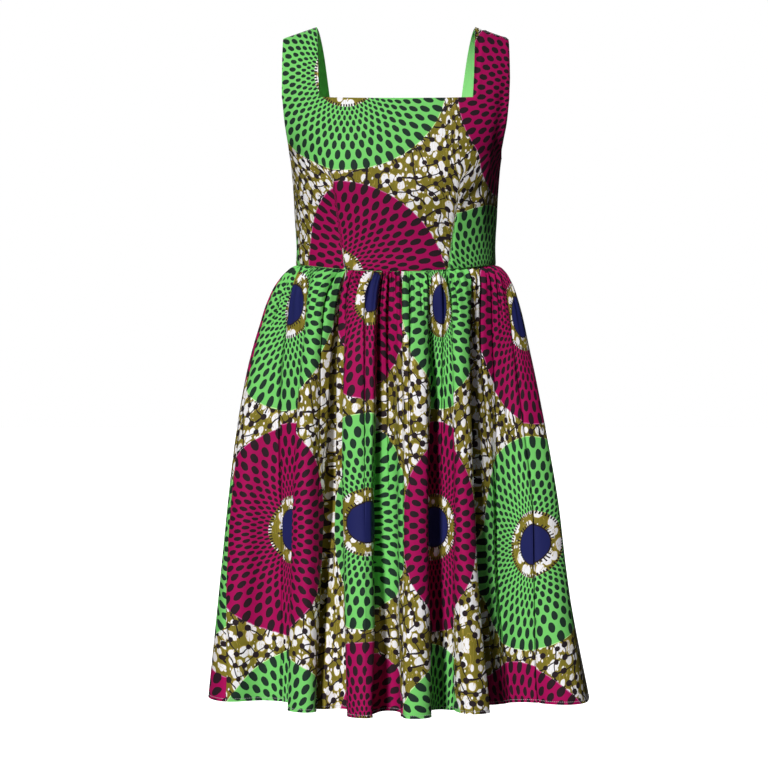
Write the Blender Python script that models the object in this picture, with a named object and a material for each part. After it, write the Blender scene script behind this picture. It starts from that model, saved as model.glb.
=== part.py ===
"""Ankara wax print dress: sleeveless, with a square neck, shoulder straps, a lined bodice with two
waist darts, an elasticated back waist, and a full skirt gathered to the waist seam.

Metres, +Z up. The front faces -Y, and the wearer's left is +X. The origin is midway between the
shoulder straps, level with their neck-side tops, where the wearer's shoulders hold the dress up.
The dress keeps the hollow form that it has when worn. Each panel is a flat pattern piece, as thick
as its cloth, whose points are carried to their places on the figure.
"""

import math
from collections import namedtuple

import bmesh
import bpy
from mathutils import Vector

# Cloth
CLOTH = 0.0016  # wall of the wax print
LINING = 0.0010  # wall of the lining
SEAM_GAP = 0.0003  # between pieces that are sewn together

# Bodice. A drop is a distance below the neck-side top of the straps.
WAIST_DROP = 0.358  # at the side seams
WAIST_DIP = 0.0136  # how much lower the waist seam is at centre front
WAIST_HALF = 0.149  # half of the width at the waist seam
FRONT_NECK_DROP = 0.116
BACK_NECK_DROP = 0.125
NECK_SAG = 0.003  # of the front neckline's middle
FRONT_NECK_HALF = 0.1125  # half of the neckline's width
BACK_NECK_HALF = 0.0975
STRAP_INNER = 0.119  # strap edges at the shoulder seam
STRAP_OUTER = 0.169
SHOULDER_SLOPE = math.tan(math.radians(19))
SHOULDER_SEAM_Y = 0.004
SHOULDER_SLACK = 1.35  # 1 makes a strap's profile an ellipse, more lets it sink below one
ROUNDNESS = 2.3  # exponent of the torso's superellipse
DART_FOOT = 0.0755  # from the middle, at the waist seam
DART_TIP = 0.0930
DART_TIP_DROP = 0.232
DART_GROOVE = 0.0006  # depth of its seam
DART_WIDTH = 0.0035
BUST = {"height": 0.010, "apart": 0.088, "drop": 0.232, "spread": 0.045}

# Skirt
SKIRT_LENGTH = 0.645  # at the side seams; the hem is level
SKIRT_ROUNDNESS = 2.0
FOLD_OPENING = 0.030  # drop over which the folds open below the waist seam
FOLD_GROWTH = 0.8
OVERHANG = 0.17  # how far a deep fold swells over its own neck, in shares of its flank
DEEP_FOLD = 0.080
GATHERS = 45  # across each skirt panel
GATHER_HEIGHT = 0.0034
GATHER_SWELL = 0.006  # drop over which a gather swells out of the seam
GATHER_FADE = 0.042
BACK_GATHERS = 18  # across the elasticated back bodice
BACK_GATHER_HEIGHT = 0.0016
BACK_GATHER_FADE = 0.030

# The figure from the strap's foot to the waist. armhole is how far out the cloth reaches: the
# armhole's edge above the underarm, and the side seam below it.
Section = namedtuple("Section", "drop half_width front back armhole")
TORSO = (
    Section(0.116, 0.2000, 0.1000, 0.1120, 0.1685),
    Section(0.150, 0.1860, 0.1100, 0.1160, 0.1655),
    Section(0.175, 0.1720, 0.1165, 0.1165, 0.1620),
    Section(0.190, 0.1630, 0.1200, 0.1160, 0.1600),
    Section(0.196, 0.1590, 0.1215, 0.1155, 0.1590),
    Section(0.245, 0.1540, 0.1260, 0.1080, 0.1540),
    Section(0.290, 0.1515, 0.1200, 0.1010, 0.1515),
    Section(0.330, 0.1490, 0.1125, 0.0980, 0.1490),
    Section(0.372, 0.1490, 0.1080, 0.0980, 0.1490),
)

# The crests of the skirt's folds, by drop below the waist seam. left and right are as seen from the front.
Flare = namedtuple("Flare", "drop left right front back")
FLARES = (
    Flare(0.000, 0.1505, 0.1505, 0.1095, 0.0995),
    Flare(0.007, 0.1600, 0.1575, 0.1180, 0.1070),
    Flare(0.016, 0.1695, 0.1655, 0.1265, 0.1150),
    Flare(0.034, 0.1830, 0.1755, 0.1370, 0.1260),
    Flare(0.059, 0.1950, 0.1845, 0.1450, 0.1350),
    Flare(0.082, 0.2025, 0.1905, 0.1500, 0.1410),
    Flare(0.127, 0.2160, 0.1995, 0.1590, 0.1510),
    Flare(0.172, 0.2265, 0.2085, 0.1670, 0.1600),
    Flare(0.262, 0.2415, 0.2250, 0.1820, 0.1760),
    Flare(0.352, 0.2520, 0.2400, 0.1960, 0.1910),
    Flare(0.442, 0.2610, 0.2520, 0.2080, 0.2030),
    Flare(0.532, 0.2700, 0.2670, 0.2200, 0.2150),
    Flare(0.645, 0.2815, 0.2895, 0.2320, 0.2270),
)

# The skirt's folds in order round the figure, each from one valley to the next. cloth is the flat
# width that a fold takes, and crest_at the share of it before its crest. waist_angle and hem_angle
# place its first valley, in degrees from centre front towards the wearer's left, and lean places the
# crest between two valleys. valley and crest are how far inside the flare those lie at the hem, and
# early is the share of the folding that is there at once below the waist.
Fold = namedtuple("Fold", "cloth crest_at waist_angle hem_angle lean valley crest early")
FOLDS = (
    Fold(0.385, 0.39, -114.0, -114.0, 0.36, 0.030, 0.000, 0.30),
    Fold(0.150, 0.50, -51.0, -50.5, 0.63, 0.096, 0.029, 0.36),
    Fold(0.225, 0.50, -33.0, -22.5, 0.55, 0.086, 0.004, 0.30),
    Fold(0.225, 0.50, -6.5, -3.0, 0.43, 0.076, 0.000, 0.34),
    Fold(0.190, 0.50, 20.5, 16.0, 0.40, 0.084, 0.024, 0.30),
    Fold(0.480, 0.64, 41.0, 39.5, 0.62, 0.100, 0.000, 0.36),
    Fold(0.112, 0.50, 112.0, 112.0, 0.52, 0.032, 0.004, 0.40),
    Fold(0.118, 0.50, 130.0, 128.0, 0.48, 0.040, 0.000, 0.30),
    Fold(0.110, 0.50, 146.0, 144.5, 0.54, 0.044, 0.006, 0.36),
    Fold(0.122, 0.50, 161.0, 160.0, 0.47, 0.040, 0.000, 0.28),
    Fold(0.114, 0.50, 176.5, 178.0, 0.52, 0.048, 0.003, 0.40),
    Fold(0.120, 0.50, 191.0, 194.5, 0.46, 0.042, 0.000, 0.32),
    Fold(0.112, 0.50, 207.0, 212.0, 0.53, 0.046, 0.005, 0.36),
    Fold(0.117, 0.50, 226.0, 229.5, 0.49, 0.038, 0.001, 0.30),
)
LEFT_SEAM = 0.190  # where the side seams lie, in flat cloth from the first valley
RIGHT_SEAM = 1.480
ALL_ROUND = sum(fold.cloth for fold in FOLDS)

# Pattern grids. Columns run from a panel's middle to its edge, as (where a stretch ends, columns in
# it). Rows run from the waist seam to the neckline's level, and STRAP_ROWS lie above it.
FRONT_NECK_SHARE = 0.555  # where the strap's inner edge lies, from a panel's middle to its edge
BACK_NECK_SHARE = 0.667
FRONT_COLUMNS = ((0.400, 3), (0.520, 6), (FRONT_NECK_SHARE, 1), (1.0, 4))
FRONT_LINING_COLUMNS = ((0.400, 3), (0.520, 1), (FRONT_NECK_SHARE, 1), (1.0, 4))
BACK_COLUMNS = ((BACK_NECK_SHARE, 12), (1.0, 6))
BACK_LINING_COLUMNS = ((BACK_NECK_SHARE, 8), (1.0, 4))
FRONT_ROWS = (0.0, 0.12, 0.25, 0.38, 0.50, 0.60, 0.669, 0.69, 0.74, 0.81, 0.90, 1.0)
BACK_ROWS = (0.0, 0.035, 0.08, 0.15, 0.26, 0.42, 0.58, 0.695, 0.716, 0.765, 0.83, 0.91, 1.0)
STRAP_ROWS = 7
SKIRT_DROPS = (0.0, 0.007, 0.016, 0.030, 0.055, 0.095, 0.150, 0.230, 0.330, 0.440, 0.550, 0.645)

WAX_GREEN = (0.16, 0.69, 0.14)
WAX_MAGENTA = (0.42, 0.005, 0.095)
WAX_OLIVE = (0.19, 0.17, 0.022)
LINING_GREEN = (0.30, 0.83, 0.24)


def clear_scene():
    for old in list(bpy.data.objects):
        bpy.data.objects.remove(old)


def mix(a, b, share):
    return a + (b - a) * share


def table_value(table, column, at):
    """A table's column at a place in its first column, on a smooth curve through the rows."""
    places = [row[0] for row in table]
    values = [getattr(row, column) for row in table]
    last = len(table) - 1
    at = min(max(at, places[0]), places[last])
    i = min(max(k for k in range(last) if places[k] <= at), last - 1)

    def slope(k):
        low, high = max(k - 1, 0), min(k + 1, last)
        return (values[high] - values[low]) / (places[high] - places[low])

    step = places[i + 1] - places[i]
    t = (at - places[i]) / step
    return (
        (2 * t**3 - 3 * t**2 + 1) * values[i]
        + (t**3 - 2 * t**2 + t) * step * slope(i)
        + (3 * t**2 - 2 * t**3) * values[i + 1]
        + (t**3 - t**2) * step * slope(i + 1)
    )


def signed_power(value, power):
    return math.copysign(abs(value) ** power, value)


def section_point(angle, half_left, half_right, front, back, roundness):
    """A point of a superellipse, by its angle from centre front (-Y) towards +X."""
    across = signed_power(math.sin(angle), 2 / roundness)
    ahead = signed_power(math.cos(angle), 2 / roundness)
    x = across * (half_right if across > 0 else half_left)
    y = -ahead * (front if ahead > 0 else back)
    return x, y


def waist_seam_drop(x, y):
    """The waist seam runs level round the back and dips across the front."""
    return WAIST_DROP + (WAIST_DIP * max(1 - (x / WAIST_HALF) ** 2, 0.0) if y < 0 else 0.0)


def normal_of(surface, a, b, step_a, step_b):
    """The outward unit normal of surface(a, b)."""
    along = surface(a + step_a, b) - surface(a - step_a, b)
    up = surface(a, b + step_b) - surface(a, b - step_b)
    return along.cross(up).normalized()


class BodicePanel:
    """The front or back of the bodice. across runs from -1 to 1 between the panel's edges. up runs
    from 0 at the waist seam to 1 at the neckline's level and 2 at the shoulder seam."""

    def __init__(self, facing, neck_drop, neck_half, neck_share, rows, sag):
        self.facing = facing  # 1 for the front, -1 for the back
        self.neck_drop = neck_drop
        self.neck_half = neck_half
        self.neck_share = neck_share
        self.rows = list(rows) + [1 + (k + 1) / STRAP_ROWS for k in range(STRAP_ROWS)]
        self.sag = sag

    def angle_reaching(self, x, drop):
        """The section's angle where the cloth is x from the middle."""
        half = table_value(TORSO, "half_width", drop)
        return math.asin(min(1.0, x / half) ** (ROUNDNESS / 2))

    def angle(self, across, drop):
        edge = table_value(TORSO, "armhole", drop)
        inner = self.neck_half * edge / table_value(TORSO, "armhole", self.neck_drop)
        inner_angle = self.angle_reaching(inner, drop)
        edge_angle = self.angle_reaching(edge, drop)
        size = abs(across)
        if size <= self.neck_share:
            turned = inner_angle * size / self.neck_share
        else:
            strap_share = (size - self.neck_share) / (1 - self.neck_share)
            turned = mix(inner_angle, edge_angle, strap_share)
        return math.copysign(turned, across)

    def torso_point(self, across, up):
        """A point between the waist seam and the neckline's level."""
        share = min(abs(across) / self.neck_share, 1.0)
        top = self.neck_drop + self.sag * (1 - share**2)
        foot_angle = self.angle(across, WAIST_DROP)
        foot_x = WAIST_HALF * signed_power(math.sin(foot_angle), 2 / ROUNDNESS)
        drop = mix(waist_seam_drop(foot_x, -self.facing), top, up)
        turned = self.angle(across, drop)
        half = table_value(TORSO, "half_width", drop)
        front = table_value(TORSO, "front", drop)
        back = table_value(TORSO, "back", drop)
        whole_angle = turned if self.facing > 0 else math.pi - turned
        x, y = section_point(whole_angle, half, half, front, back, ROUNDNESS)
        if self.facing > 0:
            y -= self.bust_height(x, drop)
        return Vector((x, y, -drop))

    def bust_height(self, x, drop):
        sideways = (abs(x) - BUST["apart"]) / BUST["spread"]
        upward = (drop - BUST["drop"]) / BUST["spread"]
        return BUST["height"] * math.exp(-(sideways**2) - upward**2)

    def strap_point(self, across, up):
        """A point between the neckline's level and the shoulder seam."""
        foot = self.torso_point(across, 1.0)
        share = (abs(across) - self.neck_share) / (1 - self.neck_share)
        top_x = math.copysign(mix(STRAP_INNER, STRAP_OUTER, share), across)
        top_z = -max(abs(top_x) - STRAP_INNER, 0.0) * SHOULDER_SLOPE
        turn = (up - 1) * math.pi / 2
        leaning = math.cos(turn)
        rising = math.sin(turn) ** SHOULDER_SLACK
        return Vector(
            (
                mix(foot.x, top_x, up - 1),
                mix(SHOULDER_SEAM_Y, foot.y, leaning),
                mix(foot.z, top_z, rising),
            )
        )

    def point(self, across, up):
        return self.torso_point(across, up) if up <= 1 else self.strap_point(across, up)

    def gather(self, across, up):
        """How far the elastic pushes the back's cloth out, near the waist."""
        if self.facing > 0:
            return 0.0
        height = up * (WAIST_DROP - self.neck_drop)
        wave = math.cos(math.pi * BACK_GATHERS * (across + 1))
        return BACK_GATHER_HEIGHT * wave * math.exp(-height / BACK_GATHER_FADE)

    def dart(self, point):
        """How deep the seam of a front dart lies in the cloth's outer face."""
        along = (WAIST_DROP + WAIST_DIP + point.z) / (WAIST_DROP + WAIST_DIP - DART_TIP_DROP)
        if self.facing < 0 or along > 1:
            return 0.0
        aside = (abs(point.x) - mix(DART_FOOT, DART_TIP, along)) / DART_WIDTH
        return DART_GROOVE * (1 - max(along, 0.0) ** 3) * math.exp(-(aside**2))

    def placed(self, across, up, depth, plain):
        """A point at a depth inside the cloth's outer face. A plain panel has no gathers or darts."""
        surface = self.point(across, up)
        normal = normal_of(self.point, across, up, 1e-3, 1e-3) * self.facing
        if plain:
            out = -BACK_GATHER_HEIGHT * (self.facing < 0)
        else:
            out = self.gather(across, up) - (self.dart(surface) if depth == 0.0 else 0.0)
        seam = Vector((0, -self.facing * SEAM_GAP / 2, 0))
        return surface + normal * (out - depth) + seam

    def build(self, name, material, stretches, outer, wall, plain=False):
        """Cuts the flat pattern, with the square of the neckline out of it, and carries it into place."""
        places = both_halves(stretches)
        bm = flat_grid(len(places) - 1, len(self.rows) - 1)
        neck_row = self.rows.index(1.0)
        first_cut = places.index(-self.neck_share)
        last_cut = places.index(self.neck_share)
        cut = [
            face
            for face in bm.faces
            if face.calc_center_median().y > neck_row
            and first_cut < face.calc_center_median().x < last_cut
        ]
        bmesh.ops.delete(bm, geom=cut, context="FACES")

        def carry(column, row, depth):
            return self.placed(places[column], self.rows[row], depth, plain)

        return sewn(name, bm, carry, outer, wall, material)


class Skirt:
    """The gathered skirt. cloth is a place in the flat width, from the first fold's valley, and drop
    is measured below the waist seam."""

    def fold_at(self, cloth):
        """The fold that holds this place, the share of it passed, and the turns already made."""
        turns, cloth = divmod(cloth, ALL_ROUND)
        for i, fold in enumerate(FOLDS):
            if cloth <= fold.cloth or fold is FOLDS[-1]:
                return i, cloth / fold.cloth, turns
            cloth -= fold.cloth

    def valley(self, index, share):
        """The angle of a fold's first valley. share runs from 0 at the waist to 1 at the hem."""
        turns, index = divmod(index, len(FOLDS))
        fold = FOLDS[index]
        return math.radians(mix(fold.waist_angle, fold.hem_angle, share) + 360 * turns)

    def point(self, cloth, drop):
        share = drop / SKIRT_LENGTH
        index, passed, turns = self.fold_at(cloth)
        fold, following = FOLDS[index], FOLDS[(index + 1) % len(FOLDS)]
        first, second = self.valley(index, share), self.valley(index + 1, share)
        crest_angle = mix(first, second, fold.lean)
        if passed < fold.crest_at:
            flank, near, valley = passed / fold.crest_at, first, fold
        else:
            flank, near, valley = (1 - passed) / (1 - fold.crest_at), second, following
        swell = OVERHANG * min(1.0, (valley.valley - fold.crest) / DEEP_FOLD) * share**0.5
        phase = flank + swell * math.sin(2 * math.pi * flank)
        angle = mix(near, crest_angle, phase) + 2 * math.pi * turns
        climb = 0.5 - 0.5 * math.cos(math.pi * flank)
        inset = mix(
            valley.valley * self.opened(valley, drop), fold.crest * self.opened(fold, drop), climb
        )
        left, right = table_value(FLARES, "left", drop), table_value(FLARES, "right", drop)
        front, back = table_value(FLARES, "front", drop), table_value(FLARES, "back", drop)
        x, y = section_point(angle, left, right, front, back, SKIRT_ROUNDNESS)
        half_width, half_depth = (right if x > 0 else left), (front if y < 0 else back)
        outward = Vector((x / half_width**2, y / half_depth**2, 0)).normalized()
        gather = math.cos(2 * math.pi * GATHERS * (cloth - LEFT_SEAM) / (RIGHT_SEAM - LEFT_SEAM))
        swollen = 1 - 0.65 * math.exp(-drop / GATHER_SWELL)
        rise = GATHER_HEIGHT * gather * swollen * math.exp(-drop / GATHER_FADE)
        waist = waist_seam_drop(x, y) + SEAM_GAP
        z = -mix(waist, WAIST_DROP + SKIRT_LENGTH, share)
        return Vector((x, y, z)) + outward * (rise - inset)

    def opened(self, fold, drop):
        """The share of a fold's depth at the hem that it has at a drop."""
        started = 1 - math.exp(-drop / FOLD_OPENING)
        return started * mix(fold.early, 1.0, (drop / SKIRT_LENGTH) ** FOLD_GROWTH)

    def build(self, name, start, end, material):
        """One panel, from a side seam to the next."""
        columns = 2 * GATHERS
        bm = flat_grid(columns, len(SKIRT_DROPS) - 1)

        def surface(cloth, height):
            return self.point(cloth, max(SKIRT_LENGTH - height, 0.0))

        def carry(column, row, depth):
            cloth = mix(start, end, column / columns)
            height = SKIRT_LENGTH - SKIRT_DROPS[len(SKIRT_DROPS) - 1 - row]
            normal = normal_of(surface, cloth, height, 2e-4, 2e-4)
            onward = (surface(cloth + 2e-4, height) - surface(cloth - 2e-4, height)).normalized()
            inward = {0: 1, columns: -1}.get(column, 0)
            return surface(cloth, height) - normal * depth + onward * inward * SEAM_GAP / 2

        return sewn(name, bm, carry, 0.0, CLOTH, material)


def both_halves(stretches):
    """The places of a panel's columns, from -1 to 1, by the stretches of one half."""
    half = [0.0]
    for end, count in stretches:
        start = half[-1]
        half += [mix(start, end, (k + 1) / count) for k in range(count - 1)] + [end]
    return [-place for place in reversed(half[1:])] + half


def flat_grid(columns, rows):
    """A flat piece of pattern whose points have whole numbers for their column and row."""
    bm = bmesh.new()
    bmesh.ops.create_grid(bm, x_segments=columns, y_segments=rows, size=0.5)
    for vertex in bm.verts:
        vertex.co.x = round((vertex.co.x + 0.5) * columns)
        vertex.co.y = round((vertex.co.y + 0.5) * rows)
    return bm


def sewn(name, bm, carry, outer, wall, material):
    """Thickens the flat pattern to a wall of cloth and carries each point to its place. outer is
    how deep the wall's outer face lies inside the panel's own surface."""
    made = bmesh.ops.extrude_face_region(bm, geom=list(bm.faces), use_keep_orig=True)
    inner = {item for item in made["geom"] if isinstance(item, bmesh.types.BMVert)}
    for vertex in bm.verts:
        depth = outer + wall if vertex in inner else outer
        vertex.co = carry(round(vertex.co.x), round(vertex.co.y), depth)
    bmesh.ops.recalc_face_normals(bm, faces=list(bm.faces))
    mesh = bpy.data.meshes.new(name)
    bm.to_mesh(mesh)
    bm.free()
    mesh.shade_smooth()
    mesh.set_sharp_from_angle(angle=math.radians(60))
    mesh.materials.append(material)
    cloth = bpy.data.objects.new(name, mesh)
    DRESS.objects.link(cloth)
    return cloth


def finish(name, colour, roughness):
    material = bpy.data.materials.new(name)
    material.use_nodes = True
    shader = material.node_tree.nodes["Principled BSDF"]
    shader.inputs["Base Color"].default_value = (*colour, 1)
    shader.inputs["Roughness"].default_value = roughness
    shader.inputs["Metallic"].default_value = 0.0
    return material


clear_scene()
DRESS = bpy.data.collections.new("ankara_dress")
bpy.context.scene.collection.children.link(DRESS)

wax_front = finish("wax_print_green", WAX_GREEN, 0.75)
wax_skirt = finish("wax_print_magenta", WAX_MAGENTA, 0.75)
wax_back = finish("wax_print_olive", WAX_OLIVE, 0.75)
plain_lining = finish("lining_green", LINING_GREEN, 0.8)

front = BodicePanel(1, FRONT_NECK_DROP, FRONT_NECK_HALF, FRONT_NECK_SHARE, FRONT_ROWS, NECK_SAG)
back = BodicePanel(-1, BACK_NECK_DROP, BACK_NECK_HALF, BACK_NECK_SHARE, BACK_ROWS, 0.0)
inside = CLOTH + SEAM_GAP
front.build("bodice_front", wax_front, FRONT_COLUMNS, 0.0, CLOTH)
front.build("lining_front", plain_lining, FRONT_LINING_COLUMNS, inside, LINING, plain=True)
back.build("bodice_back", wax_back, BACK_COLUMNS, 0.0, CLOTH)
back.build("lining_back", plain_lining, BACK_LINING_COLUMNS, inside, LINING, plain=True)

skirt = Skirt()
skirt.build("skirt_front", LEFT_SEAM, RIGHT_SEAM, wax_skirt)
skirt.build("skirt_back", RIGHT_SEAM, LEFT_SEAM + ALL_ROUND, wax_back)
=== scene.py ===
"""Ankara wax print dress: printed cloth, linings and hem stitching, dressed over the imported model.

Metres, +Z up. The front faces -Y, and the wearer's left is +X. The origin is midway between the
shoulder straps, level with their neck-side tops. Each cloth piece is a thin shell on the form of its
own solid, with the finer gathers, creases, pinched seams and turned edges of sewn cotton, and carries
a UV map in metres of flat cloth, so that the print lies on it as it does on the cut piece.
"""

import logging
import math
from dataclasses import astuple, dataclass
from enum import Enum
from functools import partial
from typing import Any, Callable, Sequence

import bpy
import numpy as np
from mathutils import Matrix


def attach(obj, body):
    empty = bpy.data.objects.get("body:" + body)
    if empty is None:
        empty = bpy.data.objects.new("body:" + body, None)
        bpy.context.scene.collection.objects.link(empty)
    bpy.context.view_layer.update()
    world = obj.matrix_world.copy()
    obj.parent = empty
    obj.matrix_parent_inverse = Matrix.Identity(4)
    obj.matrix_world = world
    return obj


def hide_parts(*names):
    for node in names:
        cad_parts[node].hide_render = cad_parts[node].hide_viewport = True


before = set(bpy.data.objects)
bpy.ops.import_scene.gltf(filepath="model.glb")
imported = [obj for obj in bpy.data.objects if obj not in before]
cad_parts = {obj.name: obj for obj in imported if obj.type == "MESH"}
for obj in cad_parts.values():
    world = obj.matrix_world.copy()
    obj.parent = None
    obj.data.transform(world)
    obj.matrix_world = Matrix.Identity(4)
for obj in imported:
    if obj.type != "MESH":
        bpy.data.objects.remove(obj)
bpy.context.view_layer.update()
LOG = logging.getLogger("ankara_dress")
Array = np.ndarray
Socket = bpy.types.NodeSocket
Add = Callable[..., Socket]  # add_node, bound to one tree

CLOTH = 0.0016  # wall of the wax print
LINING = 0.0010  # wall of the lining
SEAM_GAP = 0.0003  # between pieces that are sewn together
WAIST_DROP = 0.358  # at the side seams
WAIST_DIP = 0.0136  # how much lower the waist seam is at centre front
WAIST_HALF = 0.149  # half of the width at the waist seam
UNDERARM_DROP = 0.196  # where the side seams begin
FULL_TURN = 2 * math.pi
UV_NAME = "cloth"
RGBA = {"out": 2, "data_type": "RGBA"}  # has a mix node mix colours
MATH, VECTOR = "ShaderNodeMath", "ShaderNodeVectorMath"


# ---------------------------------------------------------------- small tools


def linear(colour: str) -> tuple[float, float, float, float]:
    """Turns an sRGB hex colour into Blender's linear colour.

    Args:
        colour: # and six hex digits.

    Returns:
        Red, green, blue and an alpha of 1.
    """
    channels = [int(colour[i : i + 2], 16) / 255 for i in (1, 3, 5)]
    red, green, blue = (c / 12.92 if c <= 0.04045 else ((c + 0.055) / 1.055) ** 2.4 for c in channels)
    return red, green, blue, 1.0


class Op(Enum):
    """The arithmetic that a pattern is worked out with, as (kind of node, its operation)."""

    ADD = (MATH, "ADD")
    SUBTRACT = (MATH, "SUBTRACT")
    MULTIPLY = (MATH, "MULTIPLY")
    DIVIDE = (MATH, "DIVIDE")
    MULTIPLY_ADD = (MATH, "MULTIPLY_ADD")
    LOGARITHM = (MATH, "LOGARITHM")
    ARCTAN2 = (MATH, "ARCTAN2")
    ROUND = (MATH, "ROUND")
    FLOOR = (MATH, "FLOOR")
    FRACTION = (MATH, "FRACT")
    ABSOLUTE = (MATH, "ABSOLUTE")
    SINE = (MATH, "SINE")
    POWER = (MATH, "POWER")
    MAXIMUM = (MATH, "MAXIMUM")
    BELOW = (MATH, "LESS_THAN")
    ABOVE = (MATH, "GREATER_THAN")
    ALTERNATE = (MATH, "PINGPONG")
    VECTOR_SUBTRACT = (VECTOR, "SUBTRACT")
    VECTOR_MULTIPLY = (VECTOR, "MULTIPLY")
    VECTOR_MULTIPLY_ADD = (VECTOR, "MULTIPLY_ADD")
    VECTOR_FLOOR = (VECTOR, "FLOOR")
    VECTOR_FRACTION = (VECTOR, "FRACTION")
    LENGTH = (VECTOR, "LENGTH")


def give(socket: Socket, given: Any) -> None:
    """Links a socket to another, or sets its value. None leaves it."""
    if isinstance(given, bpy.types.NodeSocket):
        socket.id_data.links.new(given, socket)
    elif given is not None:
        socket.default_value = given


def add_node(
    tree: bpy.types.NodeTree,
    kind: Op | str,
    *inputs: Any,
    out: int | str = 0,
    named: dict[str, Any] | None = None,
    **settings: Any,
) -> Socket:
    """Adds a node with its settings and links.

    Args:
        tree: the node tree.
        kind: an operation, or Blender's name for a kind of node.
        inputs: for its sockets in order, a socket to link, a value to set, or None to leave.
        out: which output is wanted.
        named: the same by the socket's name.
        settings: the node's own properties.

    Returns:
        The output socket.
    """
    node = tree.nodes.new(kind.value[0] if isinstance(kind, Op) else kind)
    if isinstance(kind, Op):
        node.operation = kind.value[1]
    for key, value in settings.items():
        setattr(node, key, value)
    for socket, given in list(zip((s for s in node.inputs if s.enabled), inputs)):
        give(socket, given)
    for name, given in (named or {}).items():
        give(node.inputs[name], given)
    return node.outputs[out]


def curve_value(places: Sequence[float], values: Sequence[float], at: Array) -> Array:
    """Reads a table on a smooth curve through its rows.

    Args:
        places: the rows' places, rising.
        values: the rows' values.
        at: where it is read; beyond the ends the end values hold.

    Returns:
        The values there.
    """
    x, y = np.asarray(places, float), np.asarray(values, float)
    slopes = np.empty_like(y)
    slopes[1:-1] = (y[2:] - y[:-2]) / (x[2:] - x[:-2])
    slopes[[0, -1]] = (y[[1, -1]] - y[[0, -2]]) / (x[[1, -1]] - x[[0, -2]])
    at = np.clip(at, x[0], x[-1])
    i = np.clip(np.searchsorted(x, at, side="right") - 1, 0, len(x) - 2)
    step = x[i + 1] - x[i]
    t = (at - x[i]) / step
    return (
        (2 * t**3 - 3 * t**2 + 1) * y[i]
        + (t**3 - 2 * t**2 + t) * step * slopes[i]
        + (3 * t**2 - 2 * t**3) * y[i + 1]
        + (t**3 - t**2) * step * slopes[i + 1]
    )


def read_table(rows: Sequence[Any], column: str, drop: Array) -> Array:
    """Reads one of the sizes of a table of sections, at a drop."""
    return curve_value([row.drop for row in rows], [getattr(row, column) for row in rows], drop)


def mix(a: Any, b: Any, share: Any) -> Any:
    """The value a share of the way from a to b."""
    return a + (b - a) * share


def smooth(at: Array) -> Array:
    """A soft step from 0 at 0 to 1 at 1."""
    t = np.clip(at, 0.0, 1.0)
    return t * t * (3 - 2 * t)


def bump(at: Array, width: Any) -> Array:
    """A soft hump, 1 at 0 and fading over a width."""
    return np.exp(-((at / width) ** 2))


def fading(at: Array, length: Any) -> Array:
    """A fade from 1 at 0, to about a third after each length."""
    return np.exp(-at / length)


def wander(at: Array, seed: float) -> Array:
    """A smooth uneven wave between about -1 and 1, the same each run, with waves of about 1."""
    return (
        np.sin(FULL_TURN * at * 0.61 + seed)
        + 0.7 * np.sin(FULL_TURN * at * 1.07 + 2.3 * seed + 1.0)
        + 0.5 * np.sin(FULL_TURN * at * 1.73 + 3.1 * seed + 2.0)
    ) / 1.6


def signed_power(value: Array, power: float) -> Array:
    """A power of a value's size, with its sign."""
    return np.sign(value) * np.abs(value) ** power


def superellipse(
    angle: Array, left: Array, right: Array, front: Array, back: Array, roundness: float
) -> tuple[Array, Array]:
    """A section of the figure or the skirt.

    Args:
        angle: from centre front (-Y) towards +X.
        left: half width on the -X side.
        right: half width on the +X side.
        front: half depth on the -Y side.
        back: half depth on the +Y side.
        roundness: the exponent, 2 for an ellipse.

    Returns:
        x and y.
    """
    across = signed_power(np.sin(angle), 2 / roundness)
    ahead = signed_power(np.cos(angle), 2 / roundness)
    return across * np.where(across > 0, right, left), -ahead * np.where(ahead > 0, front, back)


def waist_seam_drop(x: Array, y: Array) -> Array:
    """The waist seam runs level round the back and dips across the front."""
    dip = WAIST_DIP * np.maximum(1 - (x / WAIST_HALF) ** 2, 0.0)
    return WAIST_DROP + np.where(y < 0, dip, 0.0)


def unit(vectors: Array) -> Array:
    """The vectors, each made 1 long."""
    return vectors / np.linalg.norm(vectors, axis=-1, keepdims=True)


def grid_normals(points: Array) -> Array:
    """The unit normals of a grid of points.

    Args:
        points: rows by columns by 3, with rows going down and columns towards the right of one who
            faces the cloth.

    Returns:
        Normals of the same shape, towards the one who faces it.
    """
    return unit(np.cross(np.gradient(points, axis=0), np.gradient(points, axis=1)))


def run_along(points: Array, axis: int) -> Array:
    """How far each point lies from the first along an axis of the grid, measured on the cloth."""
    steps = np.linalg.norm(np.diff(points, axis=axis), axis=-1)
    return np.insert(np.cumsum(steps, axis=axis), 0, 0.0, axis=axis)


@dataclass(frozen=True)
class Crease:
    """A soft trough or ridge, pressed into the cloth.

    Args:
        start: its start, in the two flat coordinates of the piece.
        end: its end.
        width: half of its width, in metres.
        height: how far it stands out, below 0 for a trough.
    """

    start: tuple[float, float]
    end: tuple[float, float]
    width: float
    height: float

    def rise(self, u: Array, v: Array) -> Array:
        """How far it moves each point of the cloth outwards.

        Args:
            u: the cloth's first flat coordinate, in metres.
            v: the second, in metres.

        Returns:
            The heights.
        """
        du, dv = self.end[0] - self.start[0], self.end[1] - self.start[1]
        length = math.hypot(du, dv)
        along = ((u - self.start[0]) * du + (v - self.start[1]) * dv) / length**2
        aside = ((u - self.start[0]) * dv - (v - self.start[1]) * du) / length
        ends = smooth(along / 0.3) * smooth((1 - along) / 0.45)  # shares over which it fades in and out
        return self.height * ends * bump(aside, self.width)


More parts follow.
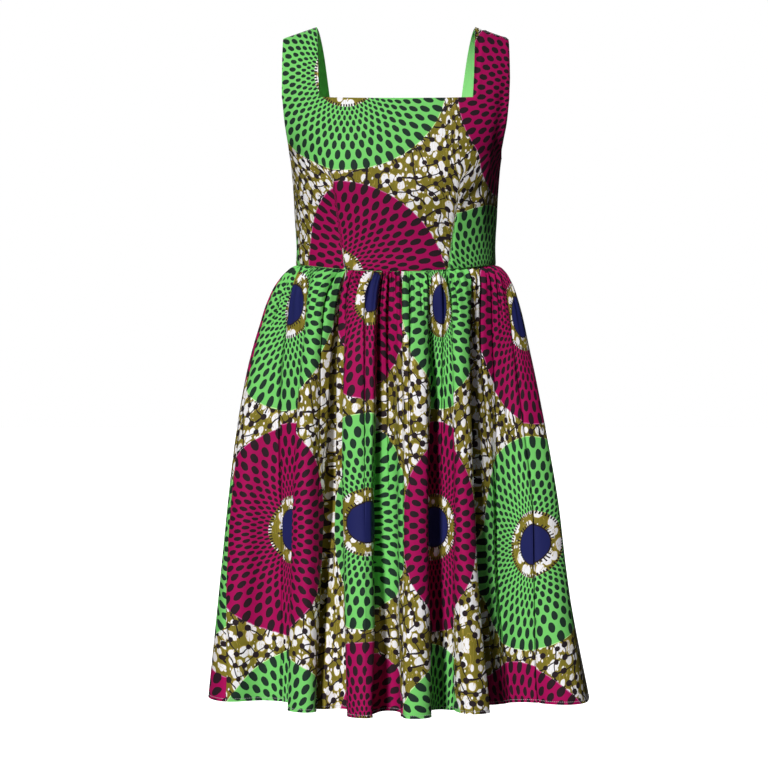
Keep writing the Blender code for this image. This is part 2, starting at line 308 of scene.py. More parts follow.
@dataclass(frozen=True)
class Pinch:
    """How sewing draws cloth in or rolls it out beside a seam or an edge.

    Args:
        height: how far it stands out, below 0 where it is drawn in.
        width: half of its width.
        away: how far from the seam or edge its middle lies.
    """

    height: float
    width: float
    away: float = 0.0

    def rise(self, distance: Array) -> Array:
        """How far it moves the cloth, at a distance from the seam or edge."""
        return self.height * bump(distance - self.away, self.width)


@dataclass(frozen=True)
class Piece:
    """What a piece is.

    Args:
        name: its name.
        material: its finish.
        slot: the record's material slot; not used.
        node: the CAD node that it stands for, if any.
    """

    name: str
    material: bpy.types.Material
    slot: str
    node: str = ""

    def make(self, points: Array, faces: Any) -> bpy.types.Object:
        """Makes its mesh and object.

        Args:
            points: the vertices.
            faces: the vertices of each face.

        Returns:
            The object, at the origin.
        """
        mesh = bpy.data.meshes.new(self.name)
        mesh.from_pydata(points.tolist(), [], faces)
        mesh.shade_smooth()
        mesh.materials.append(self.material)
        made = bpy.data.objects.new(self.name, mesh)
        bpy.context.scene.collection.objects.link(made)
        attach(made, "root")
        if self.node:
            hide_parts(self.node)
        LOG.info("%s: %d faces", self.name, len(mesh.polygons))
        return made

    def shell(self, outer: Array, inner: Array, uv: Array, kept: Array) -> bpy.types.Object:
        """Makes it as cloth, from its two faces, with a rim all round.

        Args:
            outer: the outer face's points, rows by columns by 3, rows going down.
            inner: the inner face's points.
            uv: flat coordinates in metres, rows by columns by 2.
            kept: rows-1 by columns-1, true where the pattern has cloth.

        Returns:
            The object.
        """
        rows, columns = outer.shape[:2]
        lower = rows * columns
        number = np.arange(lower).reshape(rows, columns)
        a, b, c, d = number[:-1, :-1], number[1:, :-1], number[1:, 1:], number[:-1, 1:]
        faces = [np.stack([a, b, c, d], -1)[kept], np.stack([d, c, b, a], -1)[kept] + lower]
        around = np.pad(kept, 1)
        for first, second, beside in (
            (a, b, around[1:-1, :-2]),
            (b, c, around[2:, 1:-1]),
            (c, d, around[1:-1, 2:]),
            (d, a, around[:-2, 1:-1]),
        ):
            rim = kept & ~beside
            start, end = first[rim], second[rim]
            faces.append(np.stack([end, start, start + lower, end + lower], -1))
        used, index = np.unique(np.concatenate(faces), return_inverse=True)
        quads = index.reshape(-1, 4)
        points = np.concatenate([outer.reshape(-1, 3), inner.reshape(-1, 3)])[used]
        flat = np.concatenate([uv.reshape(-1, 2)] * 2)[used]
        made = self.make(points, quads.tolist())
        layer = made.data.uv_layers.new(name=UV_NAME)
        layer.data.foreach_set("uv", flat[quads.reshape(-1)].astype(np.float32).ravel())
        made.data.validate()
        made.data.set_sharp_from_angle(angle=math.radians(60))
        return made


# ------------------------------------------------------------------- finishes


def blank_material(name: str) -> tuple[bpy.types.Material, Add, bpy.types.NodeInputs]:
    """A new material, what adds a node to it, and its Principled shader's inputs."""
    made = bpy.data.materials.new(name)
    made.use_nodes = True
    tree = made.node_tree
    return made, partial(add_node, tree), tree.nodes["Principled BSDF"].inputs


def dress(inputs: bpy.types.NodeInputs, looks: dict[str, Any]) -> None:
    """Links or sets a shader's inputs by name."""
    for name, given in looks.items():
        give(inputs[name], given)


class ThreadSize(Enum):
    """Spacing of the drawn threads. Real ones are about 0.35 mm apart, too fine to show."""

    POPLIN = 0.0009
    LAWN = 0.0008


def plain_weave(add: Add, uv: Socket, thread: ThreadSize, roughness: float) -> dict[str, Socket]:
    """The threads of a plain weave, the slight crumple of worn cotton, and its uneven gloss.

    Args:
        add: adds a node to the finish.
        uv: flat cloth.
        thread: how far apart the threads are drawn.
        roughness: the middle of its roughness.

    Returns:
        The shader's normal and roughness.
    """
    turns = add(Op.VECTOR_MULTIPLY, uv, (FULL_TURN / thread.value,) * 3)
    threads = add("ShaderNodeSeparateXYZ", turns)
    weave = add(Op.MULTIPLY, add(Op.SINE, threads), add(Op.SINE, threads.node.outputs[1]))
    woven = add("ShaderNodeBump", 0.35, 0.00012, named={"Height": weave})
    crumple = add("ShaderNodeTexNoise", uv, named={"Scale": 38.0, "Detail": 3.0})
    bumped = add("ShaderNodeBump", 0.5, 0.0012, named={"Height": crumple, "Normal": woven})
    return {"Normal": bumped, "Roughness": add(Op.MULTIPLY_ADD, crumple, 0.16, roughness - 0.08)}


@dataclass(frozen=True)
class Spots:
    """Blobs or specks where the wax cracked off.

    Args:
        across: their spacing across the cloth.
        down: their spacing down it.
        least: the smallest one's size, as a share of the spacing.
        spread: how much larger the largest is.
        rarity: the share of places that have none.
    """

    across: float
    down: float
    least: float
    spread: float
    rarity: float


@dataclass(frozen=True)
class Strokes:
    """Short strokes round a disc's centre.

    Args:
        count: how many make a circle.
        half: half of a stroke's width, as a share of its place round the circle.
        inside: where they start.
        shortest: how far the shortest goes.
        longest: how far the longest goes.
    """

    count: int
    half: float
    inside: float
    shortest: float
    longest: float


@dataclass(frozen=True)
class InDisc:
    """Where a point of the print lies: how far from its disc's centre, which way, and in which disc."""

    radius: Socket
    angle: Socket
    which: Socket


@dataclass(frozen=True)
class WaxPrint:
    """Wax-resist printed cotton, calendered plain weave.

    Large discs in two colours stand on an olive ground. Each is full of dark ovals that grow
    outwards in staggered rings, round a navy eye. The ground has the white blobs and specks of
    cracked wax, and dark dots joined by wavy lines. It is matt with a slight calendered sheen.
    Sizes are in metres of flat cloth.
    """

    pitch_across: float = 0.325
    pitch_down: float = 0.316
    disc: float = 0.1495
    disc_rim: float = 0.0012
    outer_ring: float = 0.1420
    ring_ratio: float = 1.138
    dots_round: int = 50
    dot_across: float = 0.28  # half of an oval's width, as a share of its place round the ring
    dot_along: float = 0.49
    eye: float = 0.0275
    eye_rim: float = 0.0018
    crackle: float = 0.0475
    tails: Strokes = Strokes(50, 0.055, 0.1420, 0.1475, 0.1595)
    dashes: Strokes = Strokes(72, 0.27, 0.0433, 0.0475, 0.0475)
    lashes: Strokes = Strokes(44, 0.20, 0.0275, 0.0285, 0.0360)
    spots: tuple[Spots, ...] = (
        Spots(0.0132, 0.0178, 0.22, 0.30, 0.16),
        Spots(0.0052, 0.0090, 0.06, 0.28, 0.66),
    )
    wear_scale: float = 45.0  # worn patches in a metre
    ragged_scale: float = 130.0  # the same for the ragged edges of the blobs
    ragged: float = 0.22  # how far they stray, as a share of the blobs' spacing
    rim_size: tuple[float, float] = (1.20, -0.02)  # a wax rim to its blob, and what is added to it
    vein: tuple[float, float] = (0.0065, 0.045)  # its width and length
    vein_half: float = 0.008
    vein_strength: float = 0.75
    ground_dots: float = 0.0168  # their spacing
    ground_turn: float = math.radians(24)
    dot_least: float = 0.0035
    dot_spread: float = 0.0011
    line_half: float = 0.060  # as a share of the dots' spacing
    lines_missing: float = 0.42
    sways: tuple[tuple[float, float], ...] = ((19.0, 0.034), (75.0, 0.0060))  # scales and reaches
    bleed: float = 0.0016  # how far the dye strays
    bleed_scale: float = 120.0
    roughness: float = 0.66
    green: str = "#77D16C"
    green_rim: str = "#C6EFA0"
    green_dot: str = "#22332B"
    magenta: str = "#A80D57"
    magenta_rim: str = "#C9629A"
    magenta_dot: str = "#2C1D24"
    olive: str = "#776D23"
    olive_worn: str = "#82782B"
    wax_rim: str = "#B39D45"
    white: str = "#F5F3F6"
    line: str = "#2A2024"
    navy: str = "#20245A"

    def disc_dots(self, add: Add, at: InDisc) -> Socket:
        """The dark ovals in their staggered rings.

        Args:
            add: adds a node to the finish.
            at: places in the discs.

        Returns:
            1 on an oval.
        """
        rings = add(Op.LOGARITHM, add(Op.DIVIDE, at.radius, self.outer_ring), self.ring_ratio)
        ring = add(Op.ROUND, rings)
        stagger = add(Op.MULTIPLY, add(Op.ALTERNATE, ring, 1.0), 0.5)
        place = add(Op.MULTIPLY_ADD, at.angle, self.dots_round / FULL_TURN, stagger)
        off_place = add(Op.SUBTRACT, add(Op.FRACTION, place), 0.5)
        off_ring = add(Op.SUBTRACT, rings, ring)
        wide, long = (
            add(Op.POWER, add(Op.DIVIDE, off, half), 2.0)
            for off, half in ((off_place, self.dot_across), (off_ring, self.dot_along))
        )
        oval = add(Op.BELOW, add(Op.ADD, wide, long), 1.0)
        return add(Op.MULTIPLY, oval, add(Op.ABOVE, at.radius, self.crackle))

    def rays(self, add: Add, at: InDisc, strokes: Strokes) -> Socket:
        """Strokes that point away from a disc's centre, uneven in length.

        Args:
            add: adds a node to the finish.
            at: places in the discs.
            strokes: their sizes.

        Returns:
            1 on a stroke.
        """
        place = add(Op.MULTIPLY_ADD, at.angle, strokes.count / FULL_TURN, 0.0)
        off = add(Op.SUBTRACT, add(Op.FRACTION, place), 0.5)
        thin = add(Op.BELOW, add(Op.ABSOLUTE, off), strokes.half)
        key = add(Op.MULTIPLY_ADD, at.which, 71.3, add(Op.FLOOR, place))
        chance = add("ShaderNodeTexWhiteNoise", key, noise_dimensions="1D")
        end = add(Op.MULTIPLY_ADD, chance, strokes.longest - strokes.shortest, strokes.shortest)
        near = add(Op.ABOVE, at.radius, strokes.inside)
        return add(Op.MULTIPLY, add(Op.MULTIPLY, thin, near), add(Op.BELOW, at.radius, end))

    def wax(self, add: Add, uv: Socket) -> Socket:
        """The olive ground with white blobs and specks where the wax cracked off.

        Args:
            add: adds a node to the finish.
            uv: flat cloth.

        Returns:
            Its colour.
        """
        patch = add("ShaderNodeTexNoise", uv, named={"Scale": self.wear_scale, "Detail": 2.0})
        mottle = add("ShaderNodeMapRange", patch, 0.3, 0.7, named={"To Min": 0.0, "To Max": 1.0})
        colour = add("ShaderNodeMix", mottle, linear(self.olive), linear(self.olive_worn), **RGBA)
        ragged = add("ShaderNodeTexNoise", uv, named={"Scale": self.ragged_scale, "Detail": 0.0})
        rough_edge = add(Op.MULTIPLY_ADD, ragged, self.ragged, -self.ragged / 2)
        for kind in self.spots:
            spread = add(Op.VECTOR_MULTIPLY, uv, (1 / kind.across, 1 / kind.down, 1.0))
            whole = {"Scale": 1.0, "Randomness": 1.0}
            spots = add("ShaderNodeTexVoronoi", spread, named=whole, voronoi_dimensions="2D")
            chance = add("ShaderNodeSeparateColor", spots.node.outputs["Color"])
            size = add(Op.MULTIPLY_ADD, chance, kind.spread, kind.least)
            there = add(Op.MULTIPLY, size, add(Op.ABOVE, chance.node.outputs[1], kind.rarity))
            worn = add(Op.ADD, spots, rough_edge)
            rim = add(Op.BELOW, worn, add(Op.MULTIPLY_ADD, there, *self.rim_size))
            bare = add(Op.BELOW, worn, there)
            colour = add("ShaderNodeMix", rim, colour, linear(self.wax_rim), **RGBA)
            colour = add("ShaderNodeMix", bare, colour, linear(self.white), **RGBA)
        drip = add(Op.VECTOR_MULTIPLY, uv, (1 / self.vein[0], 1 / self.vein[1], 1.0))
        veins = add("ShaderNodeTexNoise", drip, named={"Scale": 1.0, "Detail": 1.5})
        near = add(Op.ABSOLUTE, add(Op.SUBTRACT, veins, 0.5))
        vein = add(Op.MULTIPLY, add(Op.BELOW, near, self.vein_half), self.vein_strength)
        return add("ShaderNodeMix", vein, colour, linear(self.wax_rim), **RGBA)

    def swayed(self, add: Add, at: Socket, way: float) -> Socket:
        """Moves places as the wavy lines sway.

        Args:
            add: adds a node to the finish.
            at: the places.
            way: 1 to sway them, -1 to find about where they came from.

        Returns:
            The moved places.
        """
        moved = at
        for scale, reach in self.sways:
            sway = add("ShaderNodeTexNoise", at, out="Color", named={"Scale": scale, "Detail": 0.0})
            middle = add(Op.VECTOR_SUBTRACT, sway, (0.5, 0.5, 0.5))
            moved = add(Op.VECTOR_MULTIPLY_ADD, middle, (way * reach, way * reach, 0.0), moved)
        return moved

    def dotted_lines(self, add: Add, uv: Socket) -> Socket:
        """Dark dots joined by wavy lines.

        Args:
            add: adds a node to the finish.
            uv: flat cloth.

        Returns:
            1 on a dot or a line.
        """
        half = (0.5, 0.5, 0.0)
        sway = self.swayed(add, uv, 1.0)
        turn, back = {"Angle": self.ground_turn}, {"Angle": -self.ground_turn}
        turned = add("ShaderNodeVectorRotate", sway, named=turn, rotation_type="Z_AXIS")
        pitch = 1 / self.ground_dots
        places = add(Op.VECTOR_MULTIPLY_ADD, turned, (pitch, pitch, 0.0), half)
        whole = add(Op.VECTOR_FLOOR, places)
        off = add(Op.VECTOR_SUBTRACT, add(Op.VECTOR_FRACTION, places), half)
        grid = add(Op.VECTOR_MULTIPLY, whole, (self.ground_dots, self.ground_dots, 0.0))
        square = add("ShaderNodeVectorRotate", grid, named=back, rotation_type="Z_AXIS")
        centre = self.swayed(add, square, -1.0)
        away = add(Op.LENGTH, add(Op.VECTOR_SUBTRACT, uv, centre), out="Value")
        chance = add("ShaderNodeTexWhiteNoise", whole, noise_dimensions="2D")
        size = add(Op.MULTIPLY_ADD, chance, self.dot_spread, self.dot_least)
        marks = add(Op.BELOW, away, size)
        split = add("ShaderNodeSeparateXYZ", off).node.outputs
        start = add(Op.VECTOR_FLOOR, add(Op.VECTOR_SUBTRACT, places, half))
        begun = add("ShaderNodeSeparateXYZ", start).node.outputs
        at = add("ShaderNodeSeparateXYZ", whole).node.outputs
        for aside, first, second, seed in (
            (split[1], begun[0], at[1], 3.0),
            (split[0], at[0], begun[1], 9.0),
        ):
            key = add("ShaderNodeCombineXYZ", first, second, seed)
            drawn = add("ShaderNodeTexWhiteNoise", key, noise_dimensions="3D")
            thin = add(Op.BELOW, add(Op.ABSOLUTE, aside), self.line_half)
            line = add(Op.MULTIPLY, thin, add(Op.ABOVE, drawn, self.lines_missing))
            marks = add(Op.MAXIMUM, marks, line)
        return marks

    def colour(self, add: Add, uv: Socket) -> Socket:
        """The whole print.

        Args:
            add: adds a node to the finish.
            uv: flat cloth, in metres from the centre of a green disc.

        Returns:
            Its colour.
        """
        whole = {"Scale": self.bleed_scale, "Detail": 1.0}
        bleed = add("ShaderNodeTexNoise", uv, out="Color", named=whole)
        printed = add(Op.VECTOR_MULTIPLY_ADD, bleed, (self.bleed, self.bleed, 0.0), uv)
        wide, high = self.pitch_across, self.pitch_down
        spread = add(Op.VECTOR_MULTIPLY_ADD, printed, (1 / wide, 1 / high, 0.0), (0.5, 0.5, 0.0))
        column = add("ShaderNodeSeparateXYZ", add(Op.VECTOR_FLOOR, spread))
        row = column.node.outputs[1]
        within = add(Op.VECTOR_FRACTION, spread)
        local = add(Op.VECTOR_MULTIPLY_ADD, within, (wide, high, 0.0), (-wide / 2, -high / 2, 0.0))
        beside = add("ShaderNodeSeparateXYZ", local)
        at = InDisc(
            radius=add(Op.LENGTH, local, out="Value"),
            angle=add(Op.ARCTAN2, beside.node.outputs[1], beside),
            which=add(Op.MULTIPLY_ADD, row, 13.0, column),
        )
        odd = add(Op.ALTERNATE, add(Op.ADD, column, row), 1.0)

        wax = self.wax(add, uv)
        tails = self.rays(add, at, self.tails)
        marks = add(Op.MAXIMUM, self.dotted_lines(add, uv), tails)
        ground = add("ShaderNodeMix", marks, wax, linear(self.line), **RGBA)
        base, pale, dark = (
            add("ShaderNodeMix", odd, linear(one), linear(other), **RGBA)
            for one, other in (
                (self.green, self.magenta),
                (self.green_rim, self.magenta_rim),
                (self.green_dot, self.magenta_dot),
            )
        )
        edge = add(Op.ABOVE, at.radius, self.disc - self.disc_rim)
        base = add("ShaderNodeMix", edge, base, pale, **RGBA)
        dots = add(Op.MAXIMUM, self.disc_dots(add, at), tails)
        face = add("ShaderNodeMix", dots, base, dark, **RGBA)
        in_disc = add(Op.BELOW, at.radius, self.disc)
        whole = add("ShaderNodeMix", in_disc, ground, face, **RGBA)

        dashes, lashes = self.rays(add, at, self.dashes), self.rays(add, at, self.lashes)
        rim = add(Op.BELOW, at.radius, self.eye + self.eye_rim)
        marks = add(Op.MAXIMUM, add(Op.MAXIMUM, dashes, lashes), rim)
        halo = add("ShaderNodeMix", marks, wax, linear(self.line), **RGBA)
        in_eye = add(Op.BELOW, at.radius, self.eye)
        halo = add("ShaderNodeMix", in_eye, halo, linear(self.navy), **RGBA)
        in_halo = add(Op.BELOW, at.radius, self.crackle)
        return add("ShaderNodeMix", in_halo, whole, halo, **RGBA)

    def material(self, name: str) -> bpy.types.Material:
        """Makes the finish.

        Args:
            name: the material's name.

        Returns:
            The material.
        """
        made, add, shader = blank_material(name)
        uv = add("ShaderNodeUVMap", uv_map=UV_NAME)
        looks = {"Base Color": self.colour(add, uv), "Specular IOR Level": 0.08, "Sheen Weight": 0.01}
        dress(shader, looks | plain_weave(add, uv, ThreadSize.POPLIN, self.roughness))
        return made


@dataclass(frozen=True)
class LiningCotton:
    """Dyed cotton lawn, plain woven: bright green with faint slubs, softer and flatter than the print."""

    colour: str = "#A4F19A"
    slub: str = "#8EE384"

    def material(self, name: str) -> bpy.types.Material:
        """Makes the finish.

        Args:
            name: the material's name.

        Returns:
            The material.
        """
        made, add, shader = blank_material(name)
        uv = add("ShaderNodeUVMap", uv_map=UV_NAME)
        drawn = add(Op.VECTOR_MULTIPLY, uv, (1 / 0.0012, 1 / 0.018, 1.0))
        slubs = add("ShaderNodeTexNoise", drawn, named={"Scale": 1.0, "Detail": 2.0})
        colour = add("ShaderNodeMix", slubs, linear(self.slub), linear(self.colour), **RGBA)
        looks = {"Base Color": colour, "Specular IOR Level": 0.25}
        dress(shader, looks | plain_weave(add, uv, ThreadSize.LAWN, 0.78))
        return made


@dataclass(frozen=True)
class SpunThread:
    """Spun polyester thread, pale grey: short bright stitches with a slight gloss along the twist."""

    colour: str = "#BDB9BC"
    shade: str = "#9D999C"

    def material(self, name: str) -> bpy.types.Material:
        """Makes the finish.

        Args:
            name: the material's name.

        Returns:
            The material.
        """
        made, add, shader = blank_material(name)
        place = add("ShaderNodeTexCoord", out="Object")
        twist = add("ShaderNodeTexNoise", place, named={"Scale": 900.0, "Detail": 1.0})
        colour = add("ShaderNodeMix", twist, linear(self.shade), linear(self.colour), **RGBA)
        dress(shader, {"Base Color": colour, "Roughness": 0.55})
        return made


# --------------------------------------------------------------------- bodice


@dataclass(frozen=True)
class Section:
    """The figure at a drop below the strap tops, in metres. armhole is how far out the cloth reaches."""

    drop: float
    half_width: float
    front: float
    back: float
    armhole: float


@dataclass(frozen=True)
class Torso:
    """The figure that the bodice takes."""

    roundness: float = 2.3
    sections: tuple[Section, ...] = (
        Section(0.116, 0.2000, 0.1000, 0.1120, 0.1685),
        Section(0.150, 0.1860, 0.1100, 0.1160, 0.1655),
        Section(0.175, 0.1720, 0.1165, 0.1165, 0.1620),
        Section(0.190, 0.1630, 0.1200, 0.1160, 0.1600),
        Section(0.196, 0.1590, 0.1215, 0.1155, 0.1590),
        Section(0.245, 0.1540, 0.1260, 0.1080, 0.1540),
        Section(0.290, 0.1515, 0.1200, 0.1010, 0.1515),
        Section(0.330, 0.1490, 0.1125, 0.0980, 0.1490),
        Section(0.372, 0.1490, 0.1080, 0.0980, 0.1490),
    )

    def read(self, column: str, drop: Array) -> Array:
        """One of the sections' sizes at a drop."""
        return read_table(self.sections, column, drop)


class Facing(Enum):
    """Which half of the bodice a panel is."""

    FRONT = 1
    BACK = -1


@dataclass
class BodicePanel:
    """The front or the back of the bodice, outer cloth and lining.

    across runs from -1 to 1 between the panel's edges, and up runs from 0 at the waist seam to 1 at
    the neckline's level and 2 at the shoulder seam.
    """

    facing: Facing
    neck_drop: float
    neck_half: float
    neck_share: float
    neck_sag: float
    print_origin: tuple[float, float]  # a green disc's centre: across, and below the strap tops
    print_turn: float  # degrees
    print_shrink: float  # vertical length of a length of cloth, where it leans
    creases: tuple[Crease, ...] = ()
    torso: Torso = Torso()
    strap_inner: float = 0.119
    strap_outer: float = 0.169
    shoulder_slope: float = math.tan(math.radians(19))
    shoulder_seam_y: float = 0.004
    shoulder_slack: float = 1.35
    bust_height: float = 0.010
    bust_apart: float = 0.088
    bust_drop: float = 0.232
    bust_spread: float = 0.045
    dart_foot: float = 0.0755
    dart_tip: float = 0.0930
    dart_tip_drop: float = 0.232
    dart_groove: float = 0.0016
    dart_width: float = 0.0022
    dart_cheek: Pinch = Pinch(0.35, 1.5, 2.4)  # beside the groove, in its depths and widths
    dart_intake: float = 0.104  # flat cloth that a dart takes up at the waist
    dart_edge: float = 0.0024  # width over which the print jumps at a dart's seam
    dart_blend: float = 0.055  # the same above its tip
    dart_pull: float = 0.012  # how far it draws the print beside it
    dart_swell: float = 0.035  # how far above its tip it begins to move the print
    dart_merge: tuple[float, float] = (0.012, 0.048)  # where, above and below it, the jump softens
    side_from: tuple[float, float] = (0.062, 0.040)  # where the right side begins, and its blend
    hang_from: tuple[float, float] = (0.200, 0.060)  # the drop where the print hangs, and its blend
    side_hang: float = 0.015  # how much lower it hangs there
    side_ease: float = 0.017  # print that eases in beside the right strap
    strap_ease: float = 0.83  # print to a length of strap, where it lies straighter
    elastic_gathers: int = 18
    elastic_height: float = 0.0016
    elastic_fade: float = 0.030
    fine_gathers: float = 2.63  # for each of the elastic's
    fine_share: float = 0.45
    fine_fade: float = 0.016
    edge_turn: Pinch = Pinch(-0.0011, 0.0022)
    edge_roll: Pinch = Pinch(0.0005, 0.0030, 0.0055)
    side_seam: Pinch = Pinch(-0.0010, 0.0030)
    waist_seam: Pinch = Pinch(-0.0009, 0.0030)
    lining_edge: Pinch = Pinch(-0.0008, 0.0040)
    lining_ripple: float = 0.0006
    lining_overlap: float = 0.0035  # how far past the waist seam it reaches, in shares of up
    lining_shift: float = 0.001  # how far its side seams lie from the cloth's
    side_seam_drop: float = 0.190  # where the side seams begin to flatten the creases
    side_seam_fade: tuple[float, float] = (0.010, 0.012)  # over what drop, and how near to them
    columns: int = 168
    torso_rows: int = 112
    strap_rows: int = 62

    def angle_reaching(self, x: Array, drop: Array) -> Array:
        """The section's angle where the cloth is x from the middle."""
        half = self.torso.read("half_width", drop)
        return np.arcsin(np.minimum(1.0, x / half) ** (self.torso.roundness / 2))

    def angle(self, across: Array, drop: Array) -> Array:
        """The section's angle at a place across the panel."""
        edge = self.torso.read("armhole", drop)
        inner = self.neck_half * edge / self.torso.read("armhole", np.full_like(edge, self.neck_drop))
        inner_angle = self.angle_reaching(inner, drop)
        edge_angle = self.angle_reaching(edge, drop)
        size = np.abs(across)
        strap_share = (size - self.neck_share) / (1 - self.neck_share)
        turned = np.where(
            size <= self.neck_share,
            inner_angle * size / self.neck_share,
            mix(inner_angle, edge_angle, strap_share),
        )
        return np.copysign(turned, across)

    def torso_point(self, across: Array, up: Array) -> Array:
        """Points between the waist seam and the neckline's level."""
        share = np.minimum(np.abs(across) / self.neck_share, 1.0)
        top = self.neck_drop + self.neck_sag * (1 - share**2)
        foot_angle = self.angle(across, np.full_like(across, WAIST_DROP))
        foot_x = WAIST_HALF * signed_power(np.sin(foot_angle), 2 / self.torso.roundness)
        drop = mix(waist_seam_drop(foot_x, -float(self.facing.value)), top, up)
        turned = self.angle(across, drop)
        half, front, back = (self.torso.read(column, drop) for column in ("half_width", "front", "back"))
        whole = turned if self.facing is Facing.FRONT else math.pi - turned
        x, y = superellipse(whole, half, half, front, back, self.torso.roundness)
        if self.facing is Facing.FRONT:
            sideways = bump(np.abs(x) - self.bust_apart, self.bust_spread)
            y = y - self.bust_height * sideways * bump(drop - self.bust_drop, self.bust_spread)
        return np.stack([x, y, -drop], -1)

    def strap_point(self, across: Array, up: Array) -> Array:
        """Points between the neckline's level and the shoulder seam."""
        foot = self.torso_point(across, np.ones_like(up))
        share = (np.abs(across) - self.neck_share) / (1 - self.neck_share)
        top_x = np.copysign(mix(self.strap_inner, self.strap_outer, share), across)
        top_z = -np.maximum(np.abs(top_x) - self.strap_inner, 0.0) * self.shoulder_slope
        turn = np.clip(up - 1, 0.0, 1.0) * math.pi / 2
        leaning, rising = np.cos(turn), np.abs(np.sin(turn)) ** self.shoulder_slack
        x = mix(foot[..., 0], top_x, up - 1)
        y = mix(self.shoulder_seam_y, foot[..., 1], leaning)
        return np.stack([x, y, mix(foot[..., 2], top_z, rising)], -1)

    def surface(self, across: Array, up: Array) -> Array:
        """The panel's outer face before its creases."""
        torso = self.torso_point(across, np.minimum(up, 1.0))
        strap = self.strap_point(across, np.maximum(up, 1.0))
        return np.where((up <= 1.0)[..., None], torso, strap)

    def dart_line(self, drop: Array) -> tuple[Array, Array]:
        """Where the darts lie, from the middle, and how far up each the drop is, from 0 to 1."""
        foot = WAIST_DROP + WAIST_DIP
        along = np.clip((foot - drop) / (foot - self.dart_tip_drop), 0.0, 1.0)
        return mix(self.dart_foot, self.dart_tip, along), along

    def dart_rise(self, x: Array, drop: Array) -> Array:
        """The pressed seam of each dart, and the two soft cheeks of cloth beside it."""
        line, along = self.dart_line(drop)
        deep = (1 - along**3) * (drop > self.dart_tip_drop)
        aside = np.abs((np.abs(x) - line) / self.dart_width)
        return self.dart_groove * deep * (self.dart_cheek.rise(aside) - bump(aside, 1.0))

    def elastic_rise(self, across: Array, height: Array) -> Array:
        """The gathers of the elasticated back, uneven in length, above the waist."""
        waves = math.pi * self.elastic_gathers * (across + 1)
        fade = self.elastic_fade * (1.0 + 0.55 * wander(across * 6, 1.7))
        fine = self.fine_share * np.cos(self.fine_gathers * waves + 1.5 * np.sin(across * 9))
        main = np.cos(waves + 0.5 * wander(across * 7, 0.4)) * fading(height, fade)
        return self.elastic_height * (main + fine * fading(height, self.fine_fade))

    def edge_distances(self, base: Array, across: Array, up: Array) -> dict[str, Array]:
        """How far each point is from the panel's edges, along the cloth.

        Args:
            base: the surface's points.
            across: their places across.
            up: their places up.

        Returns:
            Distances to the neckline, the side (armhole or side seam), the waist seam and the shoulder,
            and from the middle.
        """
        run = run_along(base, axis=1)
        half = np.abs(run - run[:, [run.shape[1] // 2]])
        fall = run_along(base, axis=0)
        waist = fall[-1] - fall
        level = np.argmin(np.abs(up[:, 0] - 1.0))
        inner = np.argmin(np.abs(across[0] - self.neck_share))
        neck_top = waist[level] - waist
        neck_side = half - half[level, inner] * half[:, [-1]] / half[level, -1]
        in_strap = np.abs(across) > self.neck_share
        corner = np.hypot(np.maximum(neck_side, 0.0), np.maximum(neck_top, 0.0))
        neck = np.where(up > 1, neck_side, np.where(in_strap, corner, neck_top))
        side = half[:, [-1]] - half
        return {"neck": neck, "side": side, "waist": waist, "shoulder": fall, "half": half}

    def places(self) -> tuple[Array, Array]:
        """The grid's places across and up, with a row at the neckline and columns at its corners."""
        inner = int(self.columns * self.neck_share / 2) * 2
        outer = (self.columns - inner) // 2
        middle = np.linspace(-self.neck_share, self.neck_share, inner + 1)
        right = np.linspace(self.neck_share, 1.0, outer + 1)[1:]
        torso = np.linspace(0.0, 1.0, self.torso_rows + 1)
        strap = 1.0 + np.linspace(0.0, 1.0, self.strap_rows + 1)[1:]
        across = np.concatenate([-right[::-1], middle, right])
        return np.meshgrid(across, np.concatenate([torso, strap])[::-1])

    def cloth_rise(self, near: dict[str, Array], across: Array, x: Array, drop: Array) -> Array:
        """How far the outer cloth stands out: gathers or darts, turned edges and seams.

        Args:
            near: distances along the cloth, from edge_distances.
            across: the points' places across, from -1 to 1.
            x: the same in metres.
            drop: their drops.

        Returns:
            The heights.
        """
        front = self.facing is Facing.FRONT
        out = self.dart_rise(x, drop) if front else self.elastic_rise(across, near["waist"])
        open_side = drop < UNDERARM_DROP
        edge = np.minimum(near["neck"], np.where(open_side, near["side"], 1.0))
        seam = np.minimum(np.where(open_side, 1.0, near["side"]), near["shoulder"])
        out = out + self.edge_turn.rise(edge) + self.edge_roll.rise(edge)
        return out + self.side_seam.rise(seam) + self.waist_seam.rise(near["waist"])

    def lining_rise(self, near: dict[str, Array], across: Array, up: Array) -> Array:
        """How far the lining stands out, never beyond what the back's gathers leave.

        Args:
            near: distances along the cloth, from edge_distances.
            across: the points' places across.
            up: their places up.

        Returns:
            The heights.
        """
        room = -self.elastic_height * (self.facing is Facing.BACK)
        ripple = self.lining_ripple * wander(across * 3 + up * 2, 0.8) * smooth(near["waist"] / 0.02)
        return np.minimum(room + self.lining_edge.rise(near["neck"]) + ripple, room)

